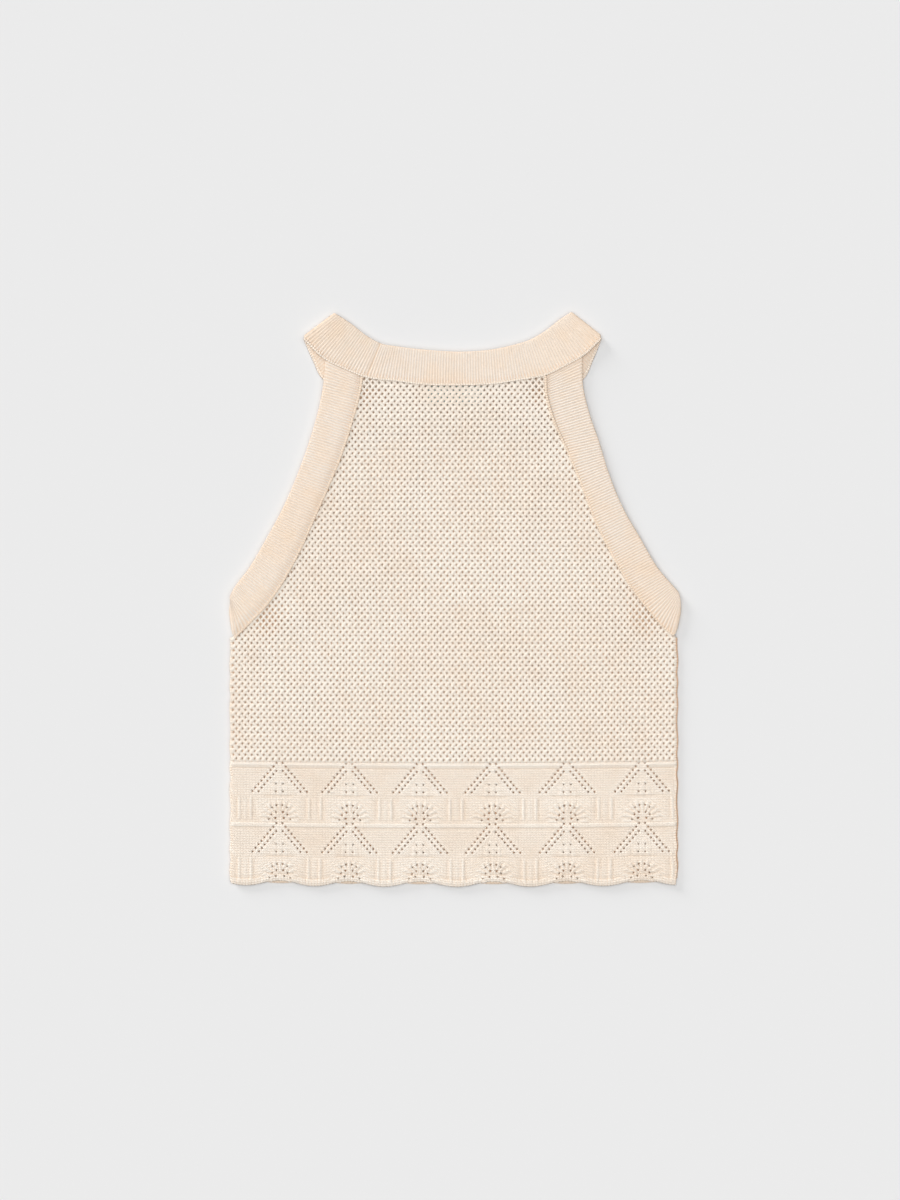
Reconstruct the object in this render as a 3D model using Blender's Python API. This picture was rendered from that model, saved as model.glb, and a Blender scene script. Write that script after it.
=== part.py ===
"""Sleeveless openwork knit top, laid flat with its back uppermost.

The model is in metres with +Z up. The top lies on the plane z = 0, its neck points to +Y, and the origin is
the middle of the area that it covers. Two knitted panels lie on each other. A ribbed neckband folds over
at both shoulders, and a ribbed band folds round each underarm. Tables are in millimetres.
"""

import math

import bmesh
import bpy
import numpy as np

MM = 0.001

# The layers: each half of a folded band is one layer, and the panels lie between them.
SEAM_GAP = 0.5 * MM
LAYER_GAP = 0.3 * MM
BAND_HALF_WALL = 0.95 * MM
BAND_FOLD_RADIUS = BAND_HALF_WALL + LAYER_GAP / 2
BAND_REACH = BAND_FOLD_RADIUS + BAND_HALF_WALL
BAND_EDGE_INSET = 1.3 * MM
BAND_EDGE_HEIGHT = 0.25
PANEL_WALL = 1.4 * MM
BACK_UNDERSIDE = PANEL_WALL + LAYER_GAP
NECK_LIFT = 1.3 * MM
NECK_LIFT_FULL, NECK_LIFT_NONE = 24 * MM, 62 * MM
SIDE_ROUNDING = 0.6 * MM

RIB_PITCH = 2.2 * MM
RIB_HEIGHT = 0.3 * MM
RIBS_PER_INNER_FACE = 2
FOLD_STEPS = 6
PLAIN_STEP = 12 * MM
EDGE_STEP = 4 * MM

# Straight sections across the neckband, from its free edge to its seam edge.
NECKBAND_BACK = (
    # free x, free y, seam x, seam y
    (-95.8, 228.6, -121.2, 209.5),
    (-82.3, 219.0, -103.7, 192.4),
    (-71.2, 210.3, -88.4, 184.6),
    (-59.6, 203.9, -70.4, 177.7),
    (-44.1, 201.1, -48.1, 174.9),
    (-24.2, 198.8, -25.8, 172.1),
    (6.0, 197.2, 6.0, 171.5),
    (27.4, 198.8, 29.0, 172.5),
    (46.5, 202.7, 51.3, 175.7),
    (60.8, 207.5, 71.2, 179.5),
    (72.7, 214.7, 87.1, 187.0),
    (81.5, 221.8, 101.4, 195.2),
    (91.8, 229.4, 116.5, 209.9),
)
NECKBAND_FRONT = (
    # free x, free y, seam x, seam y
    (91.8, 229.4, 116.5, 209.9),
    (83.0, 217.5, 108.6, 191.6),
    (73.5, 206.0, 100.2, 175.6),
    (62.0, 199.5, 84.0, 170.5),
    (45.5, 197.2, 60.0, 170.0),
    (22.0, 195.8, 26.0, 170.6),
    (-1.0, 195.2, -1.0, 170.5),
    (-28.0, 195.8, -32.0, 170.6),
    (-48.0, 197.0, -58.0, 170.2),
    (-64.8, 199.3, -85.0, 170.6),
    (-76.6, 206.2, -103.8, 175.4),
    (-87.0, 217.0, -113.0, 192.0),
    (-95.8, 228.6, -121.2, 209.5),
)
NECKBAND_JOIN_AT = 3
NECKBAND_JOIN_DEPTH = 0.7 * MM

# Sections across each armhole band on the back, from its free edge to its seam edge, neck to underarm.
LEFT_BAND = (
    # free x, free y, seam x, seam y
    (-103.4, 191.2, -74.6, 177.4),
    (-105.0, 171.7, -76.7, 164.0),
    (-108.9, 151.0, -82.5, 142.3),
    (-116.3, 125.6, -90.4, 117.7),
    (-126.0, 98.6, -101.7, 89.8),
    (-136.3, 74.7, -113.0, 64.4),
    (-149.9, 49.3, -126.0, 35.8),
    (-165.0, 23.9, -142.3, 7.6),
    (-174.5, 11.5, -152.4, -5.9),
    (-178.9, 3.5, -163.0, -16.8),
    (-180.9, -1.6, -177.4, -29.4),
)
RIGHT_BAND = (
    # free x, free y, seam x, seam y
    (100.8, 193.4, 71.6, 178.0),
    (101.2, 171.7, 72.6, 162.2),
    (105.8, 150.3, 78.6, 141.5),
    (114.1, 125.6, 88.9, 119.5),
    (122.0, 100.2, 100.8, 91.0),
    (132.4, 74.7, 110.7, 64.9),
    (146.7, 49.3, 124.1, 37.5),
    (161.8, 23.9, 139.0, 12.0),
    (172.9, 11.1, 151.6, -4.8),
    (177.7, 4.8, 164.1, -19.9),
    (180.9, -1.6, 175.5, -27.9),
)
FRONT_BAND_INSET = 0.5 * MM
FRONT_BAND_TOPS = {
    # free x, free y, seam x, seam y
    "left": (-102.6, 173.4, -75.9, 168.4),
    "right": (99.4, 173.2, 72.0, 168.2),
}

# The panels below the bands.
BACK_SIDES = (-178.5 * MM, 175.0 * MM)
FRONT_SIDES = (-178.0 * MM, 176.2 * MM)
UNDERARM_CORNER = 1.5 * MM
NECK_CURVE_FADES = 70 * MM
ROWS_ABOVE_UNDERARM, ROWS_BELOW_UNDERARM = 22, 6

# The border: two tiers of arches, each under a ridge, and a scalloped hem.
MOTIF_CENTRES = tuple(x * MM for x in (-139.5, -84.3, -28.2, 29.8, 88.6, 147.9))
COLUMNS_PER_MOTIF = 12
SIDE_CLEARANCE = 0.3
NET_COLUMN_STEP = 3
UPPER_RIDGE = -129.5 * MM
LOWER_RIDGE = -177.3 * MM
HEM = -224.3 * MM
FRONT_HEM = HEM + 1.2 * MM
BORDER_SAG = 1.5 * MM
SCALLOP = 2.6 * MM
FRONT_SCALLOP = 1.2 * MM
SCALLOP_STARTS = 28 * MM
ARCH_DROP, ARCH_HALF_WIDTH = 22.6 * MM, 21.5 * MM
ARCH_LINE_HALF_WIDTH = 2.4 * MM
ARCH_LINE_HEIGHT, ARCH_FIELD_HEIGHT = 0.35 * MM, 0.15 * MM
TIER_ROWS = (
    # drop below the ridge, height of a plain course
    (0.0, 0.4),
    (2.6, -0.2),
    (5.2, 0.0),
    (10.2, 0.0),
    (15.3, 0.0),
    (20.4, 0.0),
    (25.0, 0.0),
    (27.6, 0.25),
    (30.0, -0.1),
)
FAN_DROPS = (33.0, 37.5, 42.0)
UPPER_TIER_END, UPPER_TIER_END_HEIGHT = 45.4, -0.15 * MM
HEM_ROWS = (
    # drop below the lower ridge, height
    (43.6, 0.3),
    (45.9, 0.2),
    (47.0, -0.2),
)
FAN_HEIGHTS = tuple(h * MM for h in (0.05, 0.25, 0.05, 0.25, -0.15, 0.35, 0.05))

# Soft creases that the back keeps when it is laid flat.
CREASES = (
    # start x, start y, end x, end y, half width, height
    (69.0, 99.0, 54.0, 47.0, 16.0, 0.3),
    (-160.0, -36.0, -62.0, 22.0, 18.0, 0.27),
    (158.0, -42.0, 96.0, -4.0, 16.0, 0.22),
    (-30.0, 118.0, -46.0, 62.0, 15.0, 0.2),
    (20.0, -20.0, 74.0, -66.0, 20.0, 0.22),
    (-128.0, -70.0, -96.0, -118.0, 16.0, 0.2),
)

LABEL_WIDTH, LABEL_DEPTH, LABEL_WALL = 46 * MM, 15 * MM, 1.0 * MM
LABEL_CENTRE_X, LABEL_TOP = -0.5 * MM, 169.9 * MM
LABEL_CORNER = 1.2 * MM

SHARP_EDGE = math.radians(40)


def clear_scene():
    for obj in list(bpy.data.objects):
        bpy.data.objects.remove(obj, do_unlink=True)


def yarn(name, colour, roughness):
    material = bpy.data.materials.new(name)
    material.use_nodes = True
    shader = material.node_tree.nodes["Principled BSDF"]
    shader.inputs["Base Color"].default_value = (*colour, 1.0)
    shader.inputs["Roughness"].default_value = roughness
    shader.inputs["Metallic"].default_value = 0.0
    return material


def finish(bm, name, material):
    """Makes the mesh an object of its own, with its faces outwards."""
    bmesh.ops.recalc_face_normals(bm, faces=bm.faces)
    mesh = bpy.data.meshes.new(name)
    bm.to_mesh(mesh)
    bm.free()
    mesh.shade_smooth()
    mesh.set_sharp_from_angle(angle=SHARP_EDGE)
    mesh.materials.append(material)
    obj = bpy.data.objects.new(name, mesh)
    bpy.context.scene.collection.objects.link(obj)
    return obj


def blend(value, start, end):
    """0 at start, 1 at end, and smooth between them."""
    t = np.clip((value - start) / (end - start), 0.0, 1.0)
    return t * t * (3 - 2 * t)


def smooth_sections(table, step):
    """Sections read every step or so along the smooth curve through the table's sections."""
    rows = np.array(table)
    middles = (rows[:, :2] + rows[:, 2:]) / 2
    along = np.concatenate([[0.0], np.cumsum(np.linalg.norm(np.diff(middles, axis=0), axis=1))])
    slopes = np.gradient(rows, along, axis=0)
    count = max(2, 2 * round(along[-1] / step / 2))
    where = np.linspace(0.0, along[-1], count + 1)
    first = np.clip(np.searchsorted(along, where, side="right") - 1, 0, len(along) - 2)
    length = (along[first + 1] - along[first])[:, None]
    t = (where - along[first])[:, None] / length
    return (
        (1 + 2 * t) * (1 - t) ** 2 * rows[first]
        + t * (1 - t) ** 2 * length * slopes[first]
        + t * t * (3 - 2 * t) * rows[first + 1]
        - t * t * (1 - t) * length * slopes[first + 1]
    )


def outward(section, neighbour):
    """The direction square to a section that points away from its neighbour."""
    across = section[2:] - section[:2]
    normal = np.array([-across[1], across[0]]) / np.linalg.norm(across)
    to_neighbour = (neighbour[:2] + neighbour[2:] - section[:2] - section[2:]) / 2
    return -normal if normal @ to_neighbour > 0 else normal


def pull_in(table, end):
    """The table with the section at one end moved in, so that the fold round it reaches the real edge."""
    rows = np.array(table) * MM
    normal = outward(rows[end], rows[1 if end == 0 else -2])
    rows[end] -= np.tile(normal, 2) * BAND_REACH
    return rows, normal


def across_band(section, turn, normal, height, inner):
    """Points across a band. Its turn round the fold is 0 on the upper layer and pi on the lower one."""
    free, seam = section[:2], section[2:]
    width = np.linalg.norm(seam - free)
    inset = BAND_EDGE_INSET / width
    edge = BAND_EDGE_HEIGHT * BAND_HALF_WALL
    if inner:
        columns = ((0.0, -BAND_HALF_WALL), (1.0, -BAND_HALF_WALL))
    else:
        crown = BAND_HALF_WALL + height
        columns = ((0.0, edge + height / 2), (inset, crown), (1 - inset, crown), (1.0, edge + height / 2))
    points = []
    for share, lift in columns:
        radius = BAND_FOLD_RADIUS + lift
        flat = free + (seam - free) * share + normal * math.sin(turn) * radius
        points.append((flat[0], flat[1], BAND_REACH + math.cos(turn) * radius))
    return points


def fold_stations(section, normal, start, end):
    """A station is a section, its turn round the fold, the fold's direction, a rib's height, and whether
    it has points on the inner side too."""
    turns = np.linspace(start, end, FOLD_STEPS + 1)[1:-1]
    return [(section, turn, normal, 0.0, True) for turn in turns]


def ribbed_stations(sections, join=None):
    """The upper layer: each rib is a high station between two low ones."""
    still = np.zeros(2)
    stations = []
    for i, section in enumerate(sections):
        height = RIB_HEIGHT * (i % 2)
        if join is not None and abs(i - join) < 1:
            height = -NECKBAND_JOIN_DEPTH
        stations.append((section, 0.0, still, height, i % (2 * RIBS_PER_INNER_FACE) == 0))
    last = stations[-1]
    stations[-1] = (*last[:4], True)
    return stations


def plain_stations(sections):
    return [(section, math.pi, np.zeros(2), 0.0, True) for section in sections]


def band_solid(name, stations, closed, material):
    """A closed wall through the stations. Only some of them have points on the inner side."""
    bm = bmesh.new()
    outer = [[bm.verts.new(p) for p in across_band(*s[:4], False)] for s in stations]
    inner = {
        i: [bm.verts.new(p) for p in across_band(*s[:3], 0.0, True)] for i, s in enumerate(stations) if s[4]
    }
    count = len(stations)
    for i in range(count if closed else count - 1):
        here, there = outer[i], outer[(i + 1) % count]
        for a in range(3):
            bm.faces.new((here[a], here[a + 1], there[a + 1], there[a]))
    marks = sorted(inner)
    pairs = list(zip(marks, marks[1:]))
    if closed:
        pairs.append((marks[-1], count))
    for first, last in pairs:
        far = inner[last % count]
        near = inner[first]
        bm.faces.new((near[0], far[0], far[1], near[1]))
        for inner_side, outer_side in ((0, 0), (1, 3)):
            rim = [outer[i % count][outer_side] for i in range(first, last + 1)]
            bm.faces.new((*rim, far[inner_side], near[inner_side]))
    if not closed:
        for end in (0, count - 1):
            bm.faces.new((*outer[end], inner[end][1], inner[end][0]))
    return finish(bm, name, material)


def make_neckband(material):
    """One strip round the neck: the back half, a fold at the shoulder, the front half and a fold again."""
    back, left = pull_in(NECKBAND_BACK, 0)
    right_end, right = pull_in(NECKBAND_BACK, -1)
    back[-1] = right_end[-1]
    front = np.array(NECKBAND_FRONT) * MM
    front[0], front[-1] = back[-1], back[0]
    upper = smooth_sections(back, RIB_PITCH / 2)
    middles = (back[:, :2] + back[:, 2:]) / 2
    lengths = np.cumsum(np.linalg.norm(np.diff(middles, axis=0), axis=1))
    join = round(lengths[NECKBAND_JOIN_AT - 1] / lengths[-1] * (len(upper) - 1))
    stations = ribbed_stations(upper, join)
    stations += fold_stations(back[-1], right, 0.0, math.pi)
    stations += plain_stations(smooth_sections(front, PLAIN_STEP))
    stations += fold_stations(back[0], -left, math.pi, 2 * math.pi)
    return band_solid("neckband", stations, True, material)


def make_armhole_band(side, table, material):
    """A strip from the back of the neckband down to the underarm, round it, and up the front."""
    back, normal = pull_in(table, -1)
    front = back[:1:-1].copy()
    shift = front[1:, 2:] - front[1:, :2]
    shift /= np.linalg.norm(shift, axis=1)[:, None]
    front[1:, :2] += shift * FRONT_BAND_INSET
    front = np.vstack([front, np.array([FRONT_BAND_TOPS[side]]) * MM])
    stations = ribbed_stations(smooth_sections(back, RIB_PITCH / 2))
    stations += fold_stations(back[-1], normal, 0.0, math.pi)
    stations += plain_stations(smooth_sections(front, PLAIN_STEP))
    return band_solid(f"armhole_band_{side}", stations, False, material)


def panel_edge(table, side_x):
    """(x, y) down a panel's side: along the armhole band's seam, a seam gap away, and then the side itself."""
    inward = 1.0 if side_x < 0 else -1.0
    back, _ = pull_in(table, -1)
    seam = smooth_sections(back, EDGE_STEP)[:, 2:]
    tangent = np.gradient(seam, axis=0)
    tangent /= np.linalg.norm(tangent, axis=1)[:, None]
    away = np.stack([-tangent[:, 1], tangent[:, 0]], axis=1)
    away *= np.sign(away[:, 0] * inward)[:, None]
    edge = seam + away * SEAM_GAP
    corner_y = seam[-1, 1] - SEAM_GAP
    edge = edge[edge[:, 1] > corner_y]
    side_top, side_end = corner_y - UNDERARM_CORNER, HEM - UNDERARM_CORNER
    return np.vstack([edge, [(edge[-1, 0], corner_y), (side_x, side_top), (side_x, side_end)]])


def edge_x(edge, y):
    return float(np.interp(-y, -edge[:, 1], edge[:, 0]))


def column_phases(sides):
    """Each column's place in motifs: 0 at the first motif's centre, 1 at the second's. The sides are columns."""
    centres = np.array(MOTIF_CENTRES)
    pitch_left = centres[1] - centres[0]
    pitch_right = centres[-1] - centres[-2]
    left = (sides[0] - centres[0]) / pitch_left
    right = len(centres) - 1 + (sides[1] - centres[-1]) / pitch_right
    first = math.ceil(left * COLUMNS_PER_MOTIF + SIDE_CLEARANCE)
    last = math.floor(right * COLUMNS_PER_MOTIF - SIDE_CLEARANCE)
    inner = range(first, last + 1)
    return [left, *(k / COLUMNS_PER_MOTIF for k in inner), right]


def border_x(phase):
    centres = np.array(MOTIF_CENTRES)
    k = int(np.clip(math.floor(phase), 0, len(centres) - 2))
    return centres[k] + (phase - k) * (centres[k + 1] - centres[k])


def motif_height(phase, drop, plain):
    """How far the border stands out, from the place beside the motif's centre and the drop below its ridge."""
    off = abs(phase - round(phase))
    pitch = MOTIF_CENTRES[-1] - MOTIF_CENTRES[0]
    aside = off * pitch / (len(MOTIF_CENTRES) - 1)
    if drop <= ARCH_DROP + ARCH_LINE_HALF_WIDTH:
        line = drop * ARCH_HALF_WIDTH / ARCH_DROP
        if abs(aside - line) < ARCH_LINE_HALF_WIDTH:
            return max(plain, ARCH_LINE_HEIGHT)
        return max(plain, ARCH_FIELD_HEIGHT) if aside < line else plain
    if drop < FAN_DROPS[0] * MM:
        return plain if aside < ARCH_HALF_WIDTH else 0.0
    return FAN_HEIGHTS[round(off * COLUMNS_PER_MOTIF)]


def crease_height(x, y):
    total = 0.0
    for row in CREASES:
        start, end = np.array(row[0:2]) * MM, np.array(row[2:4]) * MM
        half_width, height = row[4] * MM, row[5] * MM
        run = end - start
        share = float((np.array([x, y]) - start) @ run / (run @ run))
        aside = np.linalg.norm(np.array([x, y]) - start - run * min(max(share, 0.0), 1.0))
        total += height * (1 - blend(aside, 0.0, half_width))
    return total


def border_rows():
    """(y, drop below the ridge, plain height) for each row of the border, top to bottom."""
    rows = []
    for ridge in (UPPER_RIDGE, LOWER_RIDGE):
        rows += [(ridge - drop * MM, drop * MM, height * MM) for drop, height in TIER_ROWS]
        rows += [(ridge - drop * MM, drop * MM, 0.0) for drop in FAN_DROPS]
        if ridge == UPPER_RIDGE:
            rows.append((ridge - UPPER_TIER_END * MM, None, UPPER_TIER_END_HEIGHT))
    return rows + [(LOWER_RIDGE - drop * MM, None, height * MM) for drop, height in HEM_ROWS]


def scallop(phase, y, depth, shift):
    """The hem dips between motifs, and the courses above it follow less and less."""
    share = 1 - blend(y, HEM, HEM + SCALLOP_STARTS)
    return depth * share * math.cos(2 * math.pi * (phase + shift))


def rows_to_underarm(left, right, bottom):
    """Heights of the left and right end of each row, from the neckband past the underarm to the bottom."""
    ends = np.array([(edge[0, 1], edge[-3, 1], edge[-2, 1]) for edge in (left, right)])
    above = np.linspace(ends[:, 0], ends[:, 1], ROWS_ABOVE_UNDERARM + 1)
    below = np.linspace(ends[:, 2], (bottom, bottom), ROWS_BELOW_UNDERARM + 1)
    return [tuple(pair) for pair in (*above, *below)]


class Panel:
    """Turns a row and a column of a panel into a place on the ground plane."""

    def __init__(self, sides, neckband_table, hem_depth, hem_shift):
        self.left, self.right = (panel_edge(t, x) for t, x in zip((LEFT_BAND, RIGHT_BAND), sides))
        self.phases = column_phases(sides)
        self.spread = [(border_x(p) - sides[0]) / (sides[1] - sides[0]) for p in self.phases]
        self.hem = hem_depth, hem_shift
        seam = smooth_sections(np.array(neckband_table) * MM, EDGE_STEP)[:, 2:]
        self.neck_seam = seam[np.argsort(seam[:, 0])]
        inner = range(1, len(self.phases) - 1, NET_COLUMN_STEP)
        self.all_columns = range(len(self.phases))
        self.net_columns = sorted({0, *inner, len(self.phases) - 1})

    def place(self, row, column):
        """(x, y, distance below the neckband)."""
        share = self.spread[column]
        x_left, x_right = edge_x(self.left, row[0]), edge_x(self.right, row[1])
        x = x_left + (x_right - x_left) * share
        y = row[0] + (row[1] - row[0]) * share
        level = self.left[0, 1] + (self.right[0, 1] - self.left[0, 1]) * share
        top_x = self.left[0, 0] + (self.right[0, 0] - self.left[0, 0]) * share
        seam_y = float(np.interp(top_x, self.neck_seam[:, 0], self.neck_seam[:, 1]))
        below = level - y
        y += (seam_y - SEAM_GAP - level) * (1 - blend(below, 0.0, NECK_CURVE_FADES))
        y -= BORDER_SAG * (1 - (2 * share - 1) ** 2) * blend(-y, 0.0, -UPPER_RIDGE)
        return x, y + scallop(self.phases[column], y, *self.hem), below


def make_back_panel(material):
    panel = Panel(BACK_SIDES, NECKBAND_BACK, SCALLOP, 0.0)
    net_end = UPPER_RIDGE + ARCH_LINE_HALF_WIDTH
    rows = [(row, None, 0.0, panel.net_columns) for row in rows_to_underarm(panel.left, panel.right, net_end)]
    rows += [((y, y), drop, plain, panel.all_columns) for y, drop, plain in border_rows()]
    upper, under = [], []
    for row, drop, plain, columns in rows:
        upper_row, under_row = {}, {}
        for c in columns:
            x, y, below = panel.place(row, c)
            if drop is not None:
                relief = motif_height(panel.phases[c], drop, plain)
            else:
                relief = plain if plain else crease_height(x, y)
            if c in (0, len(panel.phases) - 1):
                relief = min(relief, 0.0) - SIDE_ROUNDING
            base = BACK_UNDERSIDE + NECK_LIFT * (1 - blend(below, NECK_LIFT_FULL, NECK_LIFT_NONE))
            upper_row[c] = (x, y, base + PANEL_WALL + relief)
            under_row[c] = (x, y, base)
        upper.append(upper_row)
        under.append(under_row)
    return wall("back_panel", upper, under, panel.phases, material)


def make_front_panel(material):
    """The front lies flat under the back, so both its sides are plain."""
    panel = Panel(FRONT_SIDES, NECKBAND_FRONT, FRONT_SCALLOP, 0.5)
    rows = rows_to_underarm(panel.left, panel.right, FRONT_HEM)
    upper, under = [], []
    for row in rows:
        columns = panel.all_columns if row == rows[-1] else panel.net_columns
        places = {c: panel.place(row, c)[:2] for c in columns}
        upper.append({c: (*place, PANEL_WALL) for c, place in places.items()})
        under.append({c: (*place, 0.0) for c, place in places.items()})
    return wall("front_panel", upper, under, panel.phases, material)


def between_rows(bm, above, below, phases):
    """Faces between two rows. Where one row has fewer columns, a face takes in all of the other's points."""
    shared = sorted(set(above) & set(below))
    for a, b in zip(shared, shared[1:]):
        over = [above[c] for c in sorted(above) if a <= c <= b]
        beneath = [below[c] for c in sorted(below) if a <= c <= b]
        if len(over) > 2 or len(beneath) > 2:
            bm.faces.new((*over, *reversed(beneath)))
            continue
        middle = (phases[a] + phases[b]) / 2
        if middle < round(middle):
            bm.faces.new((over[0], over[1], beneath[0]))
            bm.faces.new((over[1], beneath[1], beneath[0]))
        else:
            bm.faces.new((over[0], over[1], beneath[1]))
            bm.faces.new((over[0], beneath[1], beneath[0]))


def wall(name, upper, under, phases, material):
    """A closed wall between two sheets of the same rows and columns."""
    bm = bmesh.new()
    tops = [{c: bm.verts.new(p) for c, p in row.items()} for row in upper]
    bases = [{c: bm.verts.new(p) for c, p in row.items()} for row in under]
    for sheet in (tops, bases):
        for above, below in zip(sheet, sheet[1:]):
            between_rows(bm, above, below, phases)
    for end in (0, -1):
        columns = sorted(tops[end])
        for a, b in zip(columns, columns[1:]):
            bm.faces.new((tops[end][a], tops[end][b], bases[end][b], bases[end][a]))
    for c in (0, len(phases) - 1):
        for i in range(len(tops) - 1):
            bm.faces.new((tops[i][c], tops[i + 1][c], bases[i + 1][c], bases[i][c]))
    return finish(bm, name, material)


def make_neck_label(material):
    """A plain woven label, held by the neckband's seam and lying between the panels."""
    bm = bmesh.new()
    bmesh.ops.create_cube(bm, size=1.0)
    bmesh.ops.scale(bm, vec=(LABEL_WIDTH, LABEL_DEPTH, LABEL_WALL), verts=bm.verts)
    middle = (LABEL_CENTRE_X, LABEL_TOP - LABEL_DEPTH / 2, BACK_UNDERSIDE + LABEL_WALL / 2)
    bmesh.ops.translate(bm, vec=middle, verts=bm.verts)
    upright = [e for e in bm.edges if abs(e.verts[0].co.z - e.verts[1].co.z) > LABEL_WALL / 2]
    bmesh.ops.bevel(
        bm, geom=upright, offset=LABEL_CORNER, segments=3, profile=0.5, affect="EDGES", material=-1
    )
    return finish(bm, "neck_label", material)


def centre_over_origin(pieces):
    """Moves the pieces together, so that the middle of the area that they cover is the origin."""
    corners = np.array([v.co for piece in pieces for v in piece.data.vertices])
    low, high = corners.min(axis=0), corners.max(axis=0)
    for piece in pieces:
        for vertex in piece.data.vertices:
            vertex.co.x -= (low[0] + high[0]) / 2
            vertex.co.y -= (low[1] + high[1]) / 2


def main():
    clear_scene()
    net_yarn = yarn("cream cotton, openwork", (0.855, 0.745, 0.635), 0.85)
    band_yarn = yarn("cream cotton, rib", (0.875, 0.755, 0.640), 0.80)
    front_yarn = yarn("cream cotton, front openwork", (0.840, 0.715, 0.600), 0.85)
    label_cloth = yarn("woven label", (0.74, 0.72, 0.66), 0.60)
    pieces = [
        make_back_panel(net_yarn),
        make_front_panel(front_yarn),
        make_neckband(band_yarn),
        make_armhole_band("left", LEFT_BAND, band_yarn),
        make_armhole_band("right", RIGHT_BAND, band_yarn),
        make_neck_label(label_cloth),
    ]
    centre_over_origin(pieces)


main()
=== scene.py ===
# %% [markdown]
# # A sleeveless openwork knit top, laid flat with its back up
#
# The real top is made in six pieces. Two panels are knitted to shape: a lace mesh over a border of arches
# with a scalloped hem. Two ribbed bands finish the armholes, one ribbed band goes round the neck, and a
# small woven label is held in the neck seam. This lesson knits the same pieces over a plain model that
# was built to size beforehand. That model is the frame: it says where each piece lies, and nothing here
# moves it.

# %% Load the frame
import math
from functools import partial

import bmesh
import bpy
import numpy as np
from mathutils import Matrix


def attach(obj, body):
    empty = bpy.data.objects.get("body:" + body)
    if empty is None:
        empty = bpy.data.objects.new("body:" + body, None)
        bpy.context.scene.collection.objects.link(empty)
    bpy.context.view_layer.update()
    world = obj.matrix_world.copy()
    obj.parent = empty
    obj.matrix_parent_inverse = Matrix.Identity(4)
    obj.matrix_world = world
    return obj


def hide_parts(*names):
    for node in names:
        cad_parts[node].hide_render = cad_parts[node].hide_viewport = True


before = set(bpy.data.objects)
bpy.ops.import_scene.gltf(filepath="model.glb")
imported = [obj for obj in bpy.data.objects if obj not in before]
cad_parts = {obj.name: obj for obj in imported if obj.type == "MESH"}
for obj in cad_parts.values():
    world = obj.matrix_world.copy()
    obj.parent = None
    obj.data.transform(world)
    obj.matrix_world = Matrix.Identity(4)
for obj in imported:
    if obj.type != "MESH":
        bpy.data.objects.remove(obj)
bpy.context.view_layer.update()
MM = 0.001

# %% [markdown]
# ## The camera, the floor and the light
#
# The picture is a catalogue shot: the top lies on a pale floor and the camera looks straight down. A
# camera could be placed by eye, but here the scale is known, so the lens is worked out from the distance
# and from how much floor the picture covers. Lamps near the top would light one spot more than another,
# so the light comes from the sky: a bright patch straight above, like a softbox as wide as the room, and
# a low, wide and weak sun at the upper left. Both are even over the whole floor, so it stays one flat
# tone, and only the cloth casts a long soft shadow.

# %% The camera
PIXEL = 0.795 * MM
IMAGE_WIDTH, IMAGE_HEIGHT = 900, 1200
TOP_CENTRE_PX = (455.5, 600.0)
CAMERA_HEIGHT = 2.0
SENSOR_MM = 36.0

camera_data = bpy.data.cameras.new("camera")
camera_data.sensor_width = SENSOR_MM
camera_data.lens = SENSOR_MM * CAMERA_HEIGHT / (IMAGE_HEIGHT * PIXEL)
camera = bpy.data.objects.new("camera", camera_data)
camera.location = (
    (IMAGE_WIDTH / 2 - TOP_CENTRE_PX[0]) * PIXEL,
    (TOP_CENTRE_PX[1] - IMAGE_HEIGHT / 2) * PIXEL,
    CAMERA_HEIGHT,
)
bpy.context.scene.collection.objects.link(camera)
bpy.context.scene.camera = camera
print("lens", round(camera_data.lens, 1), "mm")

# %% The floor
FLOOR_SIZE = 12.0
FLOOR_TONE = 0.80

floor_bm = bmesh.new()
bmesh.ops.create_grid(floor_bm, x_segments=1, y_segments=1, size=FLOOR_SIZE / 2)
floor_mesh = bpy.data.meshes.new("floor")
floor_bm.to_mesh(floor_mesh)
floor_bm.free()
floor = bpy.data.objects.new("floor", floor_mesh)
bpy.context.scene.collection.objects.link(floor)
floor_paint = bpy.data.materials.new("pale_floor")
floor_paint.use_nodes = True
floor_shader = floor_paint.node_tree.nodes["Principled BSDF"]
floor_shader.inputs["Base Color"].default_value = (FLOOR_TONE, FLOOR_TONE, FLOOR_TONE, 1.0)
floor_shader.inputs["Roughness"].default_value = 1.0
floor_shader.inputs["Specular IOR Level"].default_value = 0.0
floor_mesh.materials.append(floor_paint)

# %% Small helpers for shader nodes
def math_node(tree, operation, first, second=None):
    node = tree.nodes.new("ShaderNodeMath")
    node.operation = operation
    for socket, value in zip(node.inputs, (first, second)):
        if isinstance(value, (int, float)):
            socket.default_value = value
        elif value is not None:
            tree.links.new(value, socket)
    return node.outputs[0]


def set_inputs(node, values):
    for name, value in values.items():
        node.inputs[name].default_value = value


def spread_out(tree, value, low, high):
    """0 up to low, 1 from high, and smooth between them."""
    node = tree.nodes.new("ShaderNodeMapRange")
    node.interpolation_type = "SMOOTHSTEP"
    set_inputs(node, {"From Min": low, "From Max": high})
    tree.links.new(value, node.inputs["Value"])
    return node.outputs["Result"]


# %% The light
OVERHEAD_STRENGTH = 1.575
OVERHEAD_FROM, OVERHEAD_FULL = 0.4, 0.9
BACKDROP_TONE = 0.83
SUN_STRENGTH = 1.95
SUN_WIDTH = math.radians(20)
SUN_HEIGHT = math.radians(14)
SUN_FROM = math.radians(135)

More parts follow.
